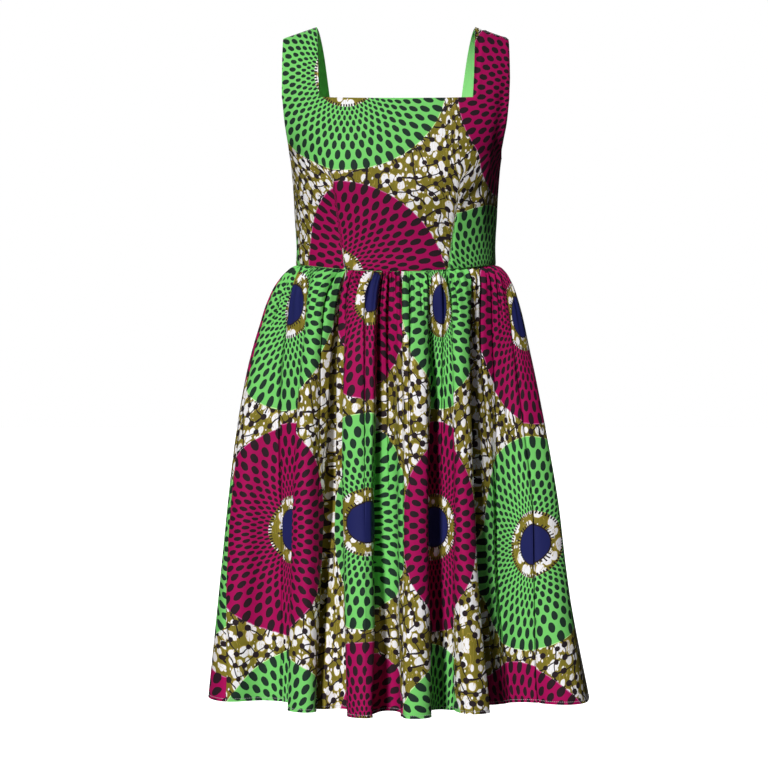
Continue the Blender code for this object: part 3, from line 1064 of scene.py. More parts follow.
    def build(self, piece: Piece, lining: bool = False) -> bpy.types.Object:
        """Builds one layer of the panel.

        Args:
            piece: what it is.
            lining: whether it is the lining, which has no darts or gathers.

        Returns:
            The object.
        """
        depth, wall = (CLOTH + SEAM_GAP, LINING) if lining else (0.0, CLOTH)
        across, up = self.places()
        if lining:  # its lower edge covers the seam's gap
            up = np.where(up < 1e-9, -self.lining_overlap, up)
        base = self.surface(across, up)
        away = grid_normals(base) * self.facing.value
        near = self.edge_distances(base, across, up)
        x, drop = base[..., 0], -base[..., 2]
        out = self.lining_rise(near, across, up) if lining else self.cloth_rise(near, across, x, drop)
        over, within = self.side_seam_fade
        seamed = smooth((drop - self.side_seam_drop) / over) * bump(near["side"], within)
        for crease in self.creases:
            out = out + crease.rise(x, drop) * (1 - seamed)
        shift = np.zeros_like(base)
        shift[..., 1] = self.lining_shift * seamed * lining - self.facing.value * SEAM_GAP / 2
        outer = base + away * (out - depth)[..., None] + shift
        behind = np.minimum(out, 0.0) if lining else out
        inner = base + away * (behind - depth - wall)[..., None] + shift
        row_up = (up[:-1, :-1] + up[1:, 1:]) / 2
        cell_across = (across[:-1, :-1] + across[1:, 1:]) / 2
        kept = (row_up < 1.0) | (np.abs(cell_across) > self.neck_share)
        # Columns run towards the right of one who faces the cloth.
        way = slice(None, None, self.facing.value)
        uv = self.flat_places(near, x, drop)
        return piece.shell(outer[:, way], inner[:, way], uv[:, way], kept[:, way])

    def flat_places(self, near: dict[str, Array], x: Array, drop: Array) -> Array:
        """Where each point lies in the print.

        Args:
            near: distances along the cloth, from edge_distances.
            x: the points' places across.
            drop: their drops.

        Returns:
            The UV coordinates, in metres from a green disc's centre.
        """
        side = np.sign(x) * self.facing.value
        level = np.argmin(np.abs(drop[:, 0] - self.neck_drop))
        half = np.where(drop < self.neck_drop - 0.001, near["half"][level], near["half"])
        flat, hung = side * half, 0.0
        if self.facing is Facing.FRONT:
            line, along = self.dart_line(drop)
            above, run = self.dart_merge
            blend = smooth((self.dart_tip_drop + above - drop) / run)
            wide = self.dart_edge + self.dart_blend * blend
            begun, foot = self.dart_tip_drop - self.dart_swell, WAIST_DROP + WAIST_DIP
            share = np.sin(math.pi / 2 * np.clip((drop - begun) / (foot - begun), 0.0, 1.0))
            beyond = smooth((np.abs(x) - line + self.dart_edge / 2) / wide)
            pull = self.dart_pull * (1 - along) * np.minimum(1.0, np.abs(x) / line)
            flat = flat + side * (self.dart_intake * share * beyond - pull)
            right, below = (
                smooth((place - start) / run)
                for place, (start, run) in ((x, self.side_from), (drop, self.hang_from))
            )
            flat = flat + self.side_ease * right * smooth(drop / self.neck_drop) * (1 - below)
            hung = self.side_hang * right * below
        above = np.maximum(self.neck_drop - drop, 0.0)
        down = drop + above * (1 - self.strap_ease) - hung
        a = flat - self.print_origin[0]
        b = (down - self.print_origin[1]) / self.print_shrink
        cos, sin = (turn(math.radians(self.print_turn)) for turn in (math.cos, math.sin))
        return np.stack([a * cos + b * sin, b * cos - a * sin], -1)


# ---------------------------------------------------------------------- skirt


@dataclass(frozen=True)
class Flare:
    """How far out the folds' crests lie at a drop below the waist seam, as seen from the front."""

    drop: float
    left: float
    right: float
    front: float
    back: float


@dataclass(frozen=True)
class Fold:
    """A fold of the skirt, from one valley to the next.

    Args:
        cloth: the flat width that it takes.
        crest_at: the share of it before its crest.
        waist_angle: where its first valley is at the waist, in degrees from centre front.
        hem_angle: the same at the hem.
        lean: where the crest lies between the two valleys.
        valley: how far inside the flare the first valley lies at the hem.
        crest: the same for the crest.
        early: the share of the folding that is there at once below the waist.
        waist_turn: how much further round its first valley starts, in degrees, fading downwards.
    """

    cloth: float
    crest_at: float
    waist_angle: float
    hem_angle: float
    lean: float
    valley: float
    crest: float
    early: float
    waist_turn: float = 0.0


LEVELS = (0.058, 0.200, 0.388, 0.622)  # drops below the waist seam where lines are measured
Levels = tuple[float, float, float, float]
FLAT = (0.0, 0.0, 0.0, 0.0)


@dataclass(frozen=True)
class Lay:
    """A line down the skirt that the print and the pressed creases follow, measured at four levels.

    Args:
        place: where it lies in the flat width.
        printed: the place in the print that lies there, in metres across it.
        columns: how many columns of faces there are before the next line.
        trough: how deep a crease fills the cloth between here and the next line.
        rise: how far the cloth stands out here.
    """

    place: Levels
    printed: Levels
    columns: int
    trough: Levels = FLAT
    rise: Levels = FLAT


FRONT_LINES = (
    Lay((0.19, 0.187, 0.184, 0.217), (-0.108, -0.106, -0.104, -0.126), 37),
    Lay((0.3183, 0.329, 0.3468, 0.351), (-0.047, -0.04, -0.0325, -0.044), 8,
        trough=(0.013, 0.01, 0.004, 0.003)),
    Lay((0.3283, 0.337, 0.3528, 0.357), (-0.004, -0.016, -0.0265, -0.038), 13),
    Lay((0.3914, 0.3913, 0.3781, 0.3694), (0.0272, 0.016, 0.001, -0.022), 8,
        trough=(0.013, 0.006, 0.0, 0.0)),
    Lay((0.4014, 0.4408, 0.4416, 0.4428), (0.072, 0.072, 0.0725, 0.045), 18),
    Lay((0.486, 0.503, 0.4978, 0.483), (0.1153, 0.1207, 0.1274, 0.0912), 8,
        trough=(0.01, 0.003, 0.0, 0.0)),
    Lay((0.494, 0.509, 0.5002, 0.485), (0.1277, 0.1316, 0.1318, 0.0955), 7),
    Lay((0.5285, 0.5275, 0.5145, 0.4905), (0.143, 0.144, 0.145, 0.101), 13,
        trough=(0.024, 0.026, 0.03, 0.03)),
    Lay((0.5405, 0.5454, 0.5352, 0.5112), (0.186, 0.176, 0.1755, 0.16), 10),
    Lay((0.5573, 0.5911, 0.5587, 0.5466), (0.197, 0.196, 0.203, 0.197), 8,
        trough=(0.013, 0.012, 0.0, 0.0), rise=(0.0, -0.006, 0.0, 0.0)),
    Lay((0.5673, 0.5991, 0.6111, 0.6149), (0.259, 0.272, 0.288, 0.29), 15,
        rise=(0.002, 0.006, 0.0, 0.0)),
    Lay((0.6397, 0.6591, 0.6572, 0.6478), (0.296, 0.306, 0.3175, 0.324), 8,
        trough=(0.006, 0.005, 0.0, 0.0)),
    Lay((0.6497, 0.6671, 0.6628, 0.653), (0.322, 0.322, 0.3225, 0.329), 13),
    Lay((0.7137, 0.7262, 0.7033, 0.6742), (0.3415, 0.339, 0.336, 0.336), 8,
        trough=(0.017, 0.01, 0.007, 0.008), rise=(0.012, 0.022, 0.007, 0.0)),
    Lay((0.7265, 0.7365, 0.7089, 0.6794), (0.401, 0.402, 0.4035, 0.393), 10,
        rise=(-0.007, -0.014, -0.020, -0.015)),
    Lay((0.735, 0.746, 0.7425, 0.728), (0.408, 0.408, 0.4095, 0.4), 8,
        rise=(0.0, -0.001, -0.002, -0.004)),
    Lay((0.7605, 0.766, 0.7688, 0.764), (0.4155, 0.4135, 0.4201, 0.4181), 8,
        trough=(0.014, 0.006, 0.0, 0.0), rise=(0.0, -0.0009, -0.0017, -0.0029)),
    Lay((0.7695, 0.772, 0.7712, 0.766), (0.4299, 0.4243, 0.4232, 0.4212), 18,
        rise=(0.0, -0.0008, -0.0016, -0.0028)),
    Lay((0.8257, 0.8419, 0.8442, 0.8334), (0.4525, 0.4535, 0.4545, 0.456), 8,
        trough=(0.013, 0.012, 0.009, 0.009)),
    Lay((0.8357, 0.8499, 0.8498, 0.8386), (0.5005, 0.5015, 0.503, 0.509), 7),
    Lay((0.868, 0.865, 0.8648, 0.861), (0.5143, 0.5071, 0.5155, 0.5245), 8,
        trough=(0.01, 0.004, 0.0, 0.0), rise=(0.0004, 0.0006, 0.0, 0.0)),
    Lay((0.876, 0.871, 0.8672, 0.863), (0.5267, 0.5166, 0.5197, 0.5279), 17,
        rise=(0.0006, 0.0011, 0.0, 0.0)),
    Lay((0.9473, 0.9523, 0.9108, 0.9094), (0.562, 0.56, 0.558, 0.561), 8,
        trough=(0.016, 0.008, 0.0, 0.0), rise=(0.005, 0.02, 0.004, 0.0)),
    Lay((0.9573, 0.9603, 0.9559, 0.9684), (0.609, 0.626, 0.632, 0.648), 10,
        rise=(0.0, -0.008, -0.002, 0.0)),
    Lay((1.0037, 0.9971, 0.9918, 0.9876), (0.65, 0.656, 0.661, 0.678), 8,
        trough=(0.006, 0.005, 0.001, 0.0005)),
    Lay((1.0137, 1.0051, 0.9974, 0.9928), (0.67, 0.667, 0.666, 0.683), 7),
    Lay((1.0356, 1.0347, 1.03, 1.0141), (0.69, 0.69, 0.691, 0.711), 8,
        trough=(0.013, 0.011, 0.009, 0.009)),
    Lay((1.0456, 1.0427, 1.0356, 1.0193), (0.728, 0.736, 0.744, 0.763), 20),
    Lay((1.1377, 1.1057, 1.1031, 1.1016), (0.765, 0.78, 0.7995, 0.825), 8,
        trough=(0.015, 0.006, 0.009, 0.011), rise=(0.004, 0.0, -0.003, 0.0)),
    Lay((1.1477, 1.1678, 1.1815, 1.1865), (0.8, 0.811, 0.8255, 0.903), 10,
        rise=(0.0, 0.004, 0.012, 0.008)),
    Lay((1.196, 1.203, 1.2048, 1.207), (0.8222, 0.8326, 0.855, 0.9256), 8,
        trough=(0.013, 0.006, 0.0, 0.0), rise=(-0.001, 0.004, 0.01, 0.007)),
    Lay((1.207, 1.209, 1.2072, 1.209), (0.8343, 0.8427, 0.8601, 0.9299), 9,
        rise=(-0.001, 0.003, 0.009, 0.006)),
    Lay((1.2514, 1.2495, 1.2285, 1.2308), (0.853, 0.868, 0.887, 0.954), 8,
        trough=(0.007, 0.006, 0.002, 0.001)),
    Lay((1.2614, 1.2575, 1.2345, 1.2368), (0.873, 0.879, 0.893, 0.96), 28),
    Lay((1.3625, 1.3679, 1.366, 1.3099), (0.921, 0.942, 0.969, 1.01), 8,
        trough=(0.008, 0.009, 0.006, 0.005)),
    Lay((1.3725, 1.3759, 1.3716, 1.3151), (0.939, 0.958, 0.981, 1.02), 22),
    Lay((1.43, 1.434, 1.436, 1.42), (0.985, 0.998, 1.013, 1.085), 13,
        rise=(0.003, 0.008, 0.011, 0.01)),
    Lay((1.48, 1.48, 1.48, 1.48), (1.035, 1.044, 1.06, 1.15), 0),
)


def back_lines(start: float, end: float, pitch: float = 0.078) -> tuple[Lay, ...]:
    """Lines for the back, with pressed creases like those of the front, uneven in place and depth.

    Args:
        start: the right side seam's place in the flat width.
        end: the left side seam's place at each level, less the front's.
        pitch: the mean distance between creases.

    Returns:
        The lines, from the right side seam to the left.
    """
    left = [at + end for at in FRONT_LINES[0].place]
    first, last = (-1.330, -1.345, -1.370, -1.430), (-0.195, -0.200, -0.208, -0.250)
    lines = [Lay((start,) * 4, first, 19)]
    count = round((left[0] - start) / pitch)
    for k in range(1, count):
        share = (k + 0.28 * math.sin(2.4 * k + 0.7)) / count
        near = mix(start, left[0], share)
        lean = 0.008 * math.sin(1.7 * k + 1.0)
        place = [near + lean * step for step in (0.0, 0.4, 0.8, 1.0)]
        depth = 0.0075 + 0.0035 * math.sin(3.1 * k)
        fade = (1.0, 0.9, 0.75, 0.6) if k % 3 else (1.0, 0.6, 0.25, 0.15)
        hidden = 0.020 + 0.012 * math.sin(4.3 * k + 2.0)  # print inside the crease
        laid = [mix(a, b, share) for a, b in zip(first, last)]
        for edge, columns, trough in ((-1, 7, tuple(depth * f for f in fade)), (1, 19, FLAT)):
            at = tuple(p + 0.002 * (edge + 1) for p in place)
            lines.append(Lay(at, tuple(a + edge * hidden / 2 for a in laid), columns, trough))
    return (*lines, Lay(tuple(left), last, 0))


@dataclass
class Skirt:
    """The gathered skirt, cut as two panels."""

    creases: tuple[Crease, ...]
    length: float = 0.645
    opening: float = 0.030
    growth: float = 0.72
    overhang: float = 0.17
    turn_fade: float = 0.110
    deep_fold: float = 0.080
    gathers: int = 45
    gather_height: float = 0.0034
    gather_swell: float = 0.004
    gather_fade: float = 0.042
    fine_gathers: float = 2.07  # for each of the others
    fine_share: float = 0.80
    fine_fade: float = 0.009
    seam_ease: float = 0.007  # drop over which the creases begin below the waist seam
    left_seam: float = 0.190
    right_seam: float = 1.480
    hem_turn: float = 0.0080  # height of the turned-up hem
    hem_stitch: float = 0.0042  # how far above the edge it is stitched
    side_seam: Pinch = Pinch(-0.0012, 0.0040)
    waist_seam: Pinch = Pinch(-0.0008, 0.0030)
    stitch_groove: Pinch = Pinch(-0.0007, 0.0014, 0.0042)
    stitch_spacing: float = 0.0031
    stitch_length: float = 0.0025
    stitch_thick: float = 0.00042  # half of the thread's width as laid
    stitch_sunk: float = 0.0003
    stitch_margin: float = 0.004  # how far from the side seams the row stops
    rows: int = 98
    flares: tuple[Flare, ...] = (
        Flare(0.000, 0.1505, 0.1505, 0.1095, 0.0995),
        Flare(0.007, 0.1600, 0.1575, 0.1180, 0.1070),
        Flare(0.016, 0.1695, 0.1655, 0.1265, 0.1150),
        Flare(0.034, 0.1830, 0.1755, 0.1370, 0.1260),
        Flare(0.059, 0.1950, 0.1845, 0.1450, 0.1350),
        Flare(0.082, 0.2025, 0.1905, 0.1500, 0.1410),
        Flare(0.127, 0.2160, 0.1995, 0.1590, 0.1510),
        Flare(0.172, 0.2265, 0.2085, 0.1670, 0.1600),
        Flare(0.262, 0.2415, 0.2250, 0.1820, 0.1760),
        Flare(0.352, 0.2520, 0.2400, 0.1960, 0.1910),
        Flare(0.442, 0.2610, 0.2520, 0.2080, 0.2030),
        Flare(0.532, 0.2700, 0.2670, 0.2200, 0.2150),
        Flare(0.645, 0.2815, 0.2895, 0.2320, 0.2270),
    )
    folds: tuple[Fold, ...] = (
        Fold(0.385, 0.39, -114.0, -114.0, 0.36, 0.030, 0.000, 0.30),
        Fold(0.150, 0.50, -51.0, -50.5, 0.655, 0.096, 0.029, 0.12, -4.0),
        Fold(0.225, 0.50, -33.0, -22.5, 0.675, 0.086, 0.004, 0.14, 4.5),
        Fold(0.225, 0.50, -6.5, -3.0, 0.43, 0.076, 0.000, 0.14, 2.0),
        Fold(0.190, 0.50, 20.5, 16.0, 0.40, 0.084, 0.024, 0.14, 1.5),
        Fold(0.480, 0.64, 41.0, 39.5, 0.62, 0.100, 0.000, 0.12, 8.0),
        Fold(0.112, 0.50, 112.0, 112.0, 0.52, 0.032, 0.004, 0.40),
        Fold(0.118, 0.50, 130.0, 128.0, 0.48, 0.040, 0.000, 0.30),
        Fold(0.110, 0.50, 146.0, 144.5, 0.54, 0.044, 0.006, 0.36),
        Fold(0.122, 0.50, 161.0, 160.0, 0.47, 0.040, 0.000, 0.28),
        Fold(0.114, 0.50, 176.5, 178.0, 0.52, 0.048, 0.003, 0.40),
        Fold(0.120, 0.50, 191.0, 194.5, 0.46, 0.042, 0.000, 0.32),
        Fold(0.112, 0.50, 207.0, 212.0, 0.53, 0.046, 0.005, 0.36),
        Fold(0.117, 0.50, 226.0, 229.5, 0.49, 0.038, 0.001, 0.30),
    )
    rolled: float = 0.0045  # how far a crease's rolled edges reach
    rolled_depth: float = 0.22  # their depth, as a share of the crease's
    row_pitch: float = 0.316  # from one row of discs to the next, down the print
    lower_edge: float = 0.4825  # where the third row of discs begins
    disc_columns: tuple[float, ...] = (-0.45, -0.325, -0.20, 0.0, 0.325, 0.650, 0.975, 1.15)
    disc_rows: tuple[tuple[float, ...], ...] = (
        (0.085, 0.085, 0.080, 0.0611, 0.0329, 0.0526, 0.0790, 0.0820),
        (0.423, 0.423, 0.415, 0.3920, 0.3688, 0.3801, 0.4132, 0.4180),
        (0.590, 0.590, 0.585, 0.5653, 0.5383, 0.5489, 0.5865, 0.5920),
    )

    @property
    def all_round(self) -> float:
        """The flat width of the whole skirt."""
        return sum(fold.cloth for fold in self.folds)

    def opened(self, early: Array, drop: Array) -> Array:
        """The share of a fold's depth at the hem that it has at a drop."""
        started = 1 - fading(drop, self.opening)
        return started * mix(early, 1.0, np.maximum(drop / self.length, 0.0) ** self.growth)

    def surface(self, cloth: Array, drop: Array) -> tuple[Array, Array]:
        """The skirt's face before its gathers and creases.

        Args:
            cloth: places in the flat width, from the first fold's valley.
            drop: drops below the waist seam.

        Returns:
            The points, and the directions straight out from the flare.
        """
        share = drop / self.length
        turns, within = np.divmod(cloth, self.all_round)
        table = np.array([astuple(fold) for fold in (*self.folds, self.folds[0])])
        ends = np.cumsum(table[:-1, 0])
        index = np.minimum(np.searchsorted(ends, within), len(self.folds) - 1)
        width, crest_at, waist, hem, lean, valley, crest, early, turn = np.moveaxis(table[index], -1, 0)
        _, _, waist_2, hem_2, _, valley_2, _, early_2, turn_2 = np.moveaxis(table[index + 1], -1, 0)
        passed = (within - (ends[index] - width)) / width
        once_round = np.where(index == len(self.folds) - 1, 360.0, 0.0)
        turned = fading(drop, self.turn_fade)
        first = np.radians(mix(waist, hem, share) + turn * turned)
        second = np.radians(mix(waist_2, hem_2, share) + once_round + turn_2 * turned)
        rising = passed < crest_at
        flank = np.where(rising, passed / crest_at, (1 - passed) / (1 - crest_at))
        foot = np.where(rising, valley, valley_2)
        deep = np.minimum(1.0, (foot - crest) / self.deep_fold)
        swell = self.overhang * deep * np.sqrt(np.maximum(share, 0.0))
        phase = flank + swell * np.sin(FULL_TURN * flank)
        nearest, crest_angle = np.where(rising, first, second), mix(first, second, lean)
        angle = mix(nearest, crest_angle, phase) + FULL_TURN * turns
        inset = mix(
            foot * self.opened(np.where(rising, early, early_2), drop),
            crest * self.opened(early, drop),
            0.5 - 0.5 * np.cos(math.pi * flank),
        )
        left, right, front, back = (
            read_table(self.flares, column, drop) for column in ("left", "right", "front", "back")
        )
        x, y = superellipse(angle, left, right, front, back, 2.0)
        half_width, half_depth = np.where(x > 0, right, left), np.where(y < 0, front, back)
        outward = unit(np.stack([x / half_width**2, y / half_depth**2, np.zeros_like(x)], -1))
        z = -mix(waist_seam_drop(x, y) + SEAM_GAP, WAIST_DROP + self.length, share)
        return np.stack([x, y, z], -1) - outward * inset[..., None], outward

    def gather_rise(self, cloth: Array, drop: Array) -> Array:
        """The gathers below the waist seam, uneven in every way, with fine ones between."""
        waves = (cloth - self.left_seam) / (self.right_seam - self.left_seam) * self.gathers
        uneven = waves + 0.22 * wander(waves * 0.37, 0.9)
        swollen = 1 - 0.55 * fading(drop, self.gather_swell)
        strength = 1.0 + 0.28 * wander(waves * 0.29, 2.2)
        fade = self.gather_fade * (1.0 + 0.50 * wander(waves * 0.41, 4.1))
        main = strength * np.cos(FULL_TURN * uneven) * fading(drop, fade)
        fine = self.fine_share * np.cos(FULL_TURN * self.fine_gathers * uneven + 1.0)
        # The second limit keeps the cloth from sinking inside the seam.
        both = self.gather_height * swollen * (main + fine * fading(drop, self.fine_fade))
        return np.maximum(both, -0.0006 - 0.8 * drop)

    def drops(self) -> Array:
        """The rows' drops, closest below the waist seam, with some at the turned-up hem."""
        t = np.linspace(0.0, 1.0, self.rows - 4)
        body = (self.length - self.hem_turn - 0.001) * mix(t, t**1.9, 0.70)
        return np.append(body, self.length - self.hem_turn * np.array([1.0, 0.6, 0.25, 0.0]))

    def face(
        self, lines: Sequence[Lay], drops: Array, finer: int = 1
    ) -> tuple[Array, Array, Array, Array]:
        """The finished outer face of a panel, on a grid that follows its lines down the cloth.

        Args:
            lines: the panel's lines, from one side seam to the next.
            drops: the rows' drops.
            finer: how many times as many columns it has.

        Returns:
            The places in the flat width, the points, their normals, and the columns of the lines.
        """
        place, trough, rise = (
            np.stack([curve_value(LEVELS, getattr(line, key), drops) for line in lines], -1)
            for key in ("place", "trough", "rise")
        )
        cloth, relief, firsts = [], [], [0]
        for i, line in enumerate(lines[:-1]):
            count = line.columns * finer
            t = np.linspace(0.0, 1.0, count + 1)[None, : count + (i == len(lines) - 2)]
            if not any(line.trough):
                t = mix(t, 0.5 - 0.5 * np.cos(math.pi * t), 0.5)
            cloth.append(mix(place[:, [i]], place[:, [i + 1]], t))
            pressed = trough[:, [i]] * np.abs(np.sin(math.pi * t)) ** 0.8
            relief.append(mix(rise[:, [i]], rise[:, [i + 1]], smooth(t)) - pressed)
            firsts.append(firsts[-1] + count)
        cloth, relief = np.concatenate(cloth, 1), np.concatenate(relief, 1)
        for i in np.flatnonzero([any(line.trough) for line in lines]):  # rolled edges beside creases
            middle = (place[:, [i]] + place[:, [i + 1]]) / 2
            wide = np.abs(place[:, [i + 1]] - place[:, [i]]) / 2 + self.rolled
            relief = relief - self.rolled_depth * trough[:, [i]] * bump(cloth - middle, wide)
        drop = np.broadcast_to(drops[:, None], cloth.shape)
        for crease in self.creases:
            relief = relief + crease.rise(cloth, drop)
        relief = (relief * (1 - fading(drop, self.seam_ease)))[..., None]
        base, outward = self.surface(cloth, drop)
        points = base + outward * self.gather_rise(cloth, drop)[..., None]
        points = points + mix(grid_normals(base), outward, np.clip(relief / 0.004, 0, 1)) * relief
        return cloth, points, grid_normals(points), np.array(firsts)

    def print_down(self, printed: Array, drop: Array) -> Array:
        """How far down the print each place lies, from the first row of discs.

        The bias of the deep folds makes the rows of discs hang unevenly.

        Args:
            printed: the places across the print.
            drop: the drops below the waist seam.

        Returns:
            The places down the print.
        """
        first, second, third = (
            curve_value(self.disc_columns, drops, printed) for drops in self.disc_rows
        )
        upper = (drop - first) / (second - first) * self.row_pitch
        lower = (drop - second) / (third - second) * (self.lower_edge - self.row_pitch)
        return np.where(drop < second, upper, self.row_pitch + lower)

    def build(self, piece: Piece, lines: Sequence[Lay]) -> bpy.types.Object:
        """Builds one panel, from a side seam to the next.

        Args:
            piece: what it is.
            lines: the lines that its print and creases follow.

        Returns:
            The object.
        """
        drops = self.drops()
        cloth, outer, normal, firsts = self.face(lines, drops)
        drop = np.broadcast_to(drops[:, None], cloth.shape)
        run = run_along(outer, axis=1)
        printed = np.stack([curve_value(LEVELS, line.printed, drops) for line in lines], -1)
        across = np.stack([np.interp(row, row[firsts], laid) for row, laid in zip(run, printed)])
        from_seam = np.minimum(cloth - cloth[:, :1], cloth[:, -1:] - cloth)
        sewn = self.side_seam.rise(from_seam) + self.waist_seam.rise(drop)
        sewn = sewn + self.stitch_groove.rise(self.length - drop)
        outer = outer + normal * sewn[..., None]
        along = unit(np.gradient(outer, axis=1))
        outer[:, 0] += along[:, 0] * SEAM_GAP / 2
        outer[:, -1] -= along[:, -1] * SEAM_GAP / 2
        turned_up = drop > self.length - self.hem_turn - 0.0005
        inner = outer - normal * np.where(turned_up, 2 * CLOTH, CLOTH)[..., None]
        uv = np.stack([across, self.print_down(across, drop)], -1)
        return piece.shell(outer, inner, uv, np.ones_like(cloth[1:, 1:], bool))

    def stitches(self, piece: Piece, lines: Sequence[Lay]) -> bpy.types.Object:
        """The row of lockstitches that holds a panel's hem.

        Args:
            piece: what it is.
            lines: the panel's lines.

        Returns:
            The object.
        """
        level = self.length - self.hem_stitch
        _, points, normal, _ = self.face(lines, level + np.array([-0.001, 0.0, 0.001]), finer=4)
        path, away = points[1], normal[1]
        run = run_along(path, axis=0)
        at = np.arange(self.stitch_margin, run[-1] - self.stitch_margin, self.stitch_spacing)
        start, end, out = (
            np.stack([np.interp(at + step, run, column) for column in values.T], -1)
            for step, values in (
                (-self.stitch_length / 2, path),
                (self.stitch_length / 2, path),
                (0.0, away),
            )
        )
        bpy.ops.object.select_all(action="DESELECT")
        bpy.ops.mesh.primitive_uv_sphere_add(segments=6, ring_count=4, radius=0.5)
        stitch = bpy.context.object
        shape = np.array([vertex.co for vertex in stitch.data.vertices])
        faces = [tuple(polygon.vertices) for polygon in stitch.data.polygons]
        bpy.data.objects.remove(stitch)
        long = unit(end - start)
        side = unit(np.cross(out, long))
        lift = np.cross(long, side)
        placed = ((start + end) / 2 - lift * self.stitch_sunk)[:, None]
        thick = 2 * self.stitch_thick
        for k, size, way in ((2, self.stitch_length, long), (0, thick, side), (1, thick, lift)):
            placed = placed + shape[None, :, [k]] * size * way[:, None]
        count = len(shape)
        every = [tuple(i + k * count for i in face) for k in range(len(at)) for face in faces]
        return piece.make(placed.reshape(-1, 3), every)


# --------------------------------------------------------------------- studio


@dataclass(frozen=True)
class Studio:
    """A pale floor, soft light and the camera."""

    floor_height: float = -1.40
    floor_radius: float = 40.0
    distance: float = 3.3
    aim: tuple[float, float] = (-0.018, -0.5355)
    lens: float = 103.125
    white: str = "#FBFBFB"
    grey: str = "#F2F2F2"
    bounce: str = "#3A3A3A"  # the floor's colour to the light that it throws back
    glow: float = 0.85
    surround_light: float = 0.045

    def floor(self) -> None:
        """A plain matt floor, where a wearer's feet would be.

        It is pale to look at, but throws little light back, so that the folds keep their shade.
        """
        bpy.ops.object.select_all(action="DESELECT")
        bpy.ops.mesh.primitive_circle_add(
            vertices=96,
            radius=self.floor_radius,
            fill_type="NGON",
            location=(0.0, 0.0, self.floor_height),
        )
        disc = bpy.context.object
        disc.name = "studio_floor"
        made, add, shader = blank_material("painted_floor")
        place = add("ShaderNodeTexCoord", out="Object")
        grain = add("ShaderNodeTexNoise", place, named={"Scale": 6.0, "Detail": 2.0})
        pale = add("ShaderNodeMix", grain, linear(self.grey), linear(self.white), **RGBA)
        seen = add("ShaderNodeLightPath", out="Is Camera Ray")
        looks = {
            "Base Color": add("ShaderNodeMix", seen, linear(self.bounce), pale, **RGBA),
            "Emission Color": pale,
            "Emission Strength": add(Op.MULTIPLY, seen, self.glow),
            "Roughness": 0.9,
        }
        dress(shader, looks)
        disc.data.materials.append(made)

    def light(self) -> None:
        """A large soft key from the front left, a faint fill from behind, and a pale surround."""
        for name, energy, size, turn in (
            ("key_light", 3.3, 6.0, (65, 0, -21)),
            ("back_light", 1.8, 30.0, (-70, 0, 0)),
        ):
            rotation = tuple(math.radians(degrees) for degrees in turn)
            bpy.ops.object.light_add(type="SUN", rotation=rotation, location=(0.0, 0.0, 2.0))
            lamp = bpy.context.object
            lamp.name = name
            lamp.data.energy = energy
            lamp.data.angle = math.radians(size)
        world = bpy.data.worlds.new("pale_surround")
        world.use_nodes = True
        tree = world.node_tree
        tree.nodes.clear()
        add = partial(add_node, tree)
        dim, bright = (
            add("ShaderNodeBackground", linear("#FFFFFF"), strength)
            for strength in (self.surround_light, 1.0)
        )
        both = add("ShaderNodeMixShader", add("ShaderNodeLightPath", out="Is Camera Ray"), dim, bright)
        give(tree.nodes.new("ShaderNodeOutputWorld").inputs["Surface"], both)
        bpy.context.scene.world = world

    def camera(self) -> None:
        """The camera, level with the middle of the dress."""
        bpy.ops.object.camera_add(
            location=(self.aim[0], -self.distance, self.aim[1]), rotation=(math.radians(90), 0.0, 0.0)
        )
        eye = bpy.context.object
        eye.data.lens = self.lens
        eye.data.sensor_width = 36.0
        eye.data.clip_end = 200.0
        bpy.context.scene.camera = eye
        # Dyes keep their full strength with the plain transform.
        bpy.context.scene.view_settings.view_transform = "Standard"


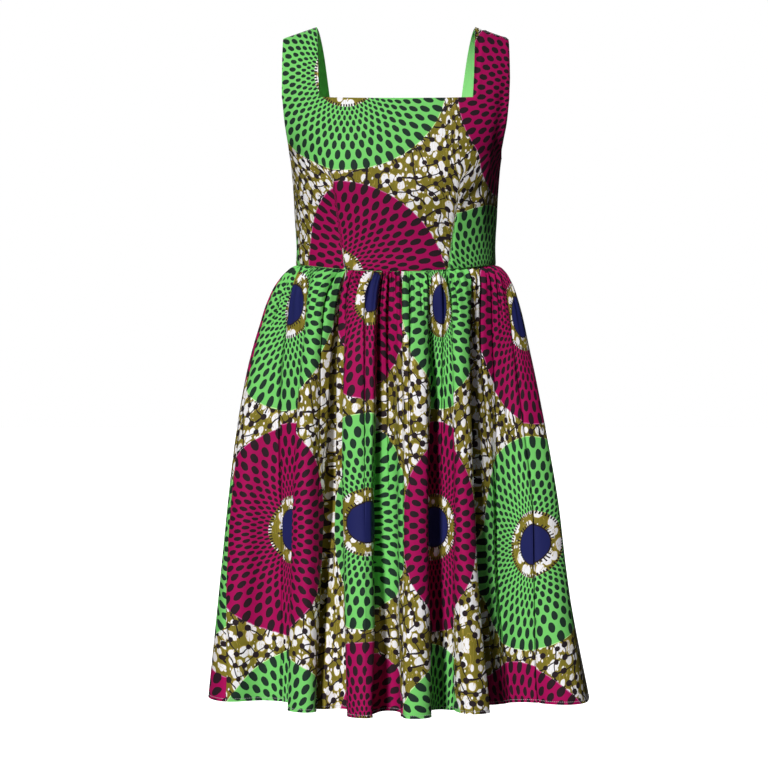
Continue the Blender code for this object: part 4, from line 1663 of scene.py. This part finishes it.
def write_sizes() -> None:
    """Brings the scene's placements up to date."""
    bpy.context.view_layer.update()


def main() -> None:
    """Builds the studio and the dress, piece by piece."""
    logging.basicConfig(level=logging.INFO, format="%(message)s")
    studio = Studio()
    studio.camera()
    studio.floor()
    studio.light()

    printed = WaxPrint()
    front_print, skirt_print, back_print = (
        printed.material(f"wax_printed_cotton_{part}") for part in ("bodice", "skirt", "back")
    )
    lawn = LiningCotton().material("dyed_cotton_lawn")
    thread = SpunThread().material("spun_polyester_thread")

    front = BodicePanel(
        facing=Facing.FRONT,
        neck_drop=0.116,
        neck_half=0.1125,
        neck_share=0.555,
        neck_sag=0.003,
        print_origin=(-0.072, 0.089),
        print_turn=2.6,
        print_shrink=0.926,
        creases=(
            Crease((0.138, 0.236), (0.086, 0.291), 0.008, -0.003),
            Crease((0.163, 0.080), (0.150, 0.215), 0.010, -0.0045),
            Crease((0.156, 0.150), (0.135, 0.365), 0.010, -0.005),
        ),
    )
    back = BodicePanel(
        facing=Facing.BACK,
        neck_drop=0.125,
        neck_half=0.0975,
        neck_share=0.667,
        neck_sag=0.0,
        print_origin=(0.055, 0.205),
        print_turn=-1.0,
        print_shrink=0.97,
    )
    bodice_front, lining_front, bodice_back, lining_back = (
        panel.build(Piece(*names), lining)
        for panel, lining, names in (
            (front, False, ("bodice_front_cloth", front_print, "wax_print_bodice", "bodice_front")),
            (front, True, ("bodice_front_lining", lawn, "lining_cotton", "lining_front")),
            (back, False, ("bodice_back_cloth", back_print, "wax_print_back", "bodice_back")),
            (back, True, ("bodice_back_lining", lawn, "lining_cotton", "lining_back")),
        )
    )
    small_pleats = (
        Crease((0.287, 0.0), (0.238, 0.120), 0.004, -0.006),
        Crease((0.360, -0.01), (0.372, 0.070), 0.004, -0.005),
        Crease((0.445, -0.01), (0.452, 0.095), 0.004, -0.006),
        Crease((0.605, -0.01), (0.610, 0.085), 0.004, -0.006),
        Crease((0.912, -0.01), (0.908, 0.075), 0.004, -0.005),
        Crease((1.075, -0.01), (1.072, 0.090), 0.004, -0.006),
        Crease((1.310, -0.01), (1.318, 0.090), 0.004, -0.006),
        Crease((1.430, -0.01), (1.440, 0.120), 0.004, -0.005),
    )
    skirt = Skirt(creases=small_pleats)
    back_of_skirt = back_lines(skirt.right_seam, skirt.all_round)
    front_piece = Piece("skirt_front_cloth", skirt_print, "wax_print_skirt", "skirt_front")
    back_piece = Piece("skirt_back_cloth", back_print, "wax_print_back", "skirt_back")
    skirt_front = skirt.build(front_piece, FRONT_LINES)
    skirt_back = skirt.build(back_piece, back_of_skirt)
    front_hem = skirt.stitches(Piece("hem_stitches_front", thread, "wax_print_skirt"), FRONT_LINES)
    back_hem = skirt.stitches(Piece("hem_stitches_back", thread, "wax_print_back"), back_of_skirt)

    write_sizes()


if __name__ == "__main__":
    main()
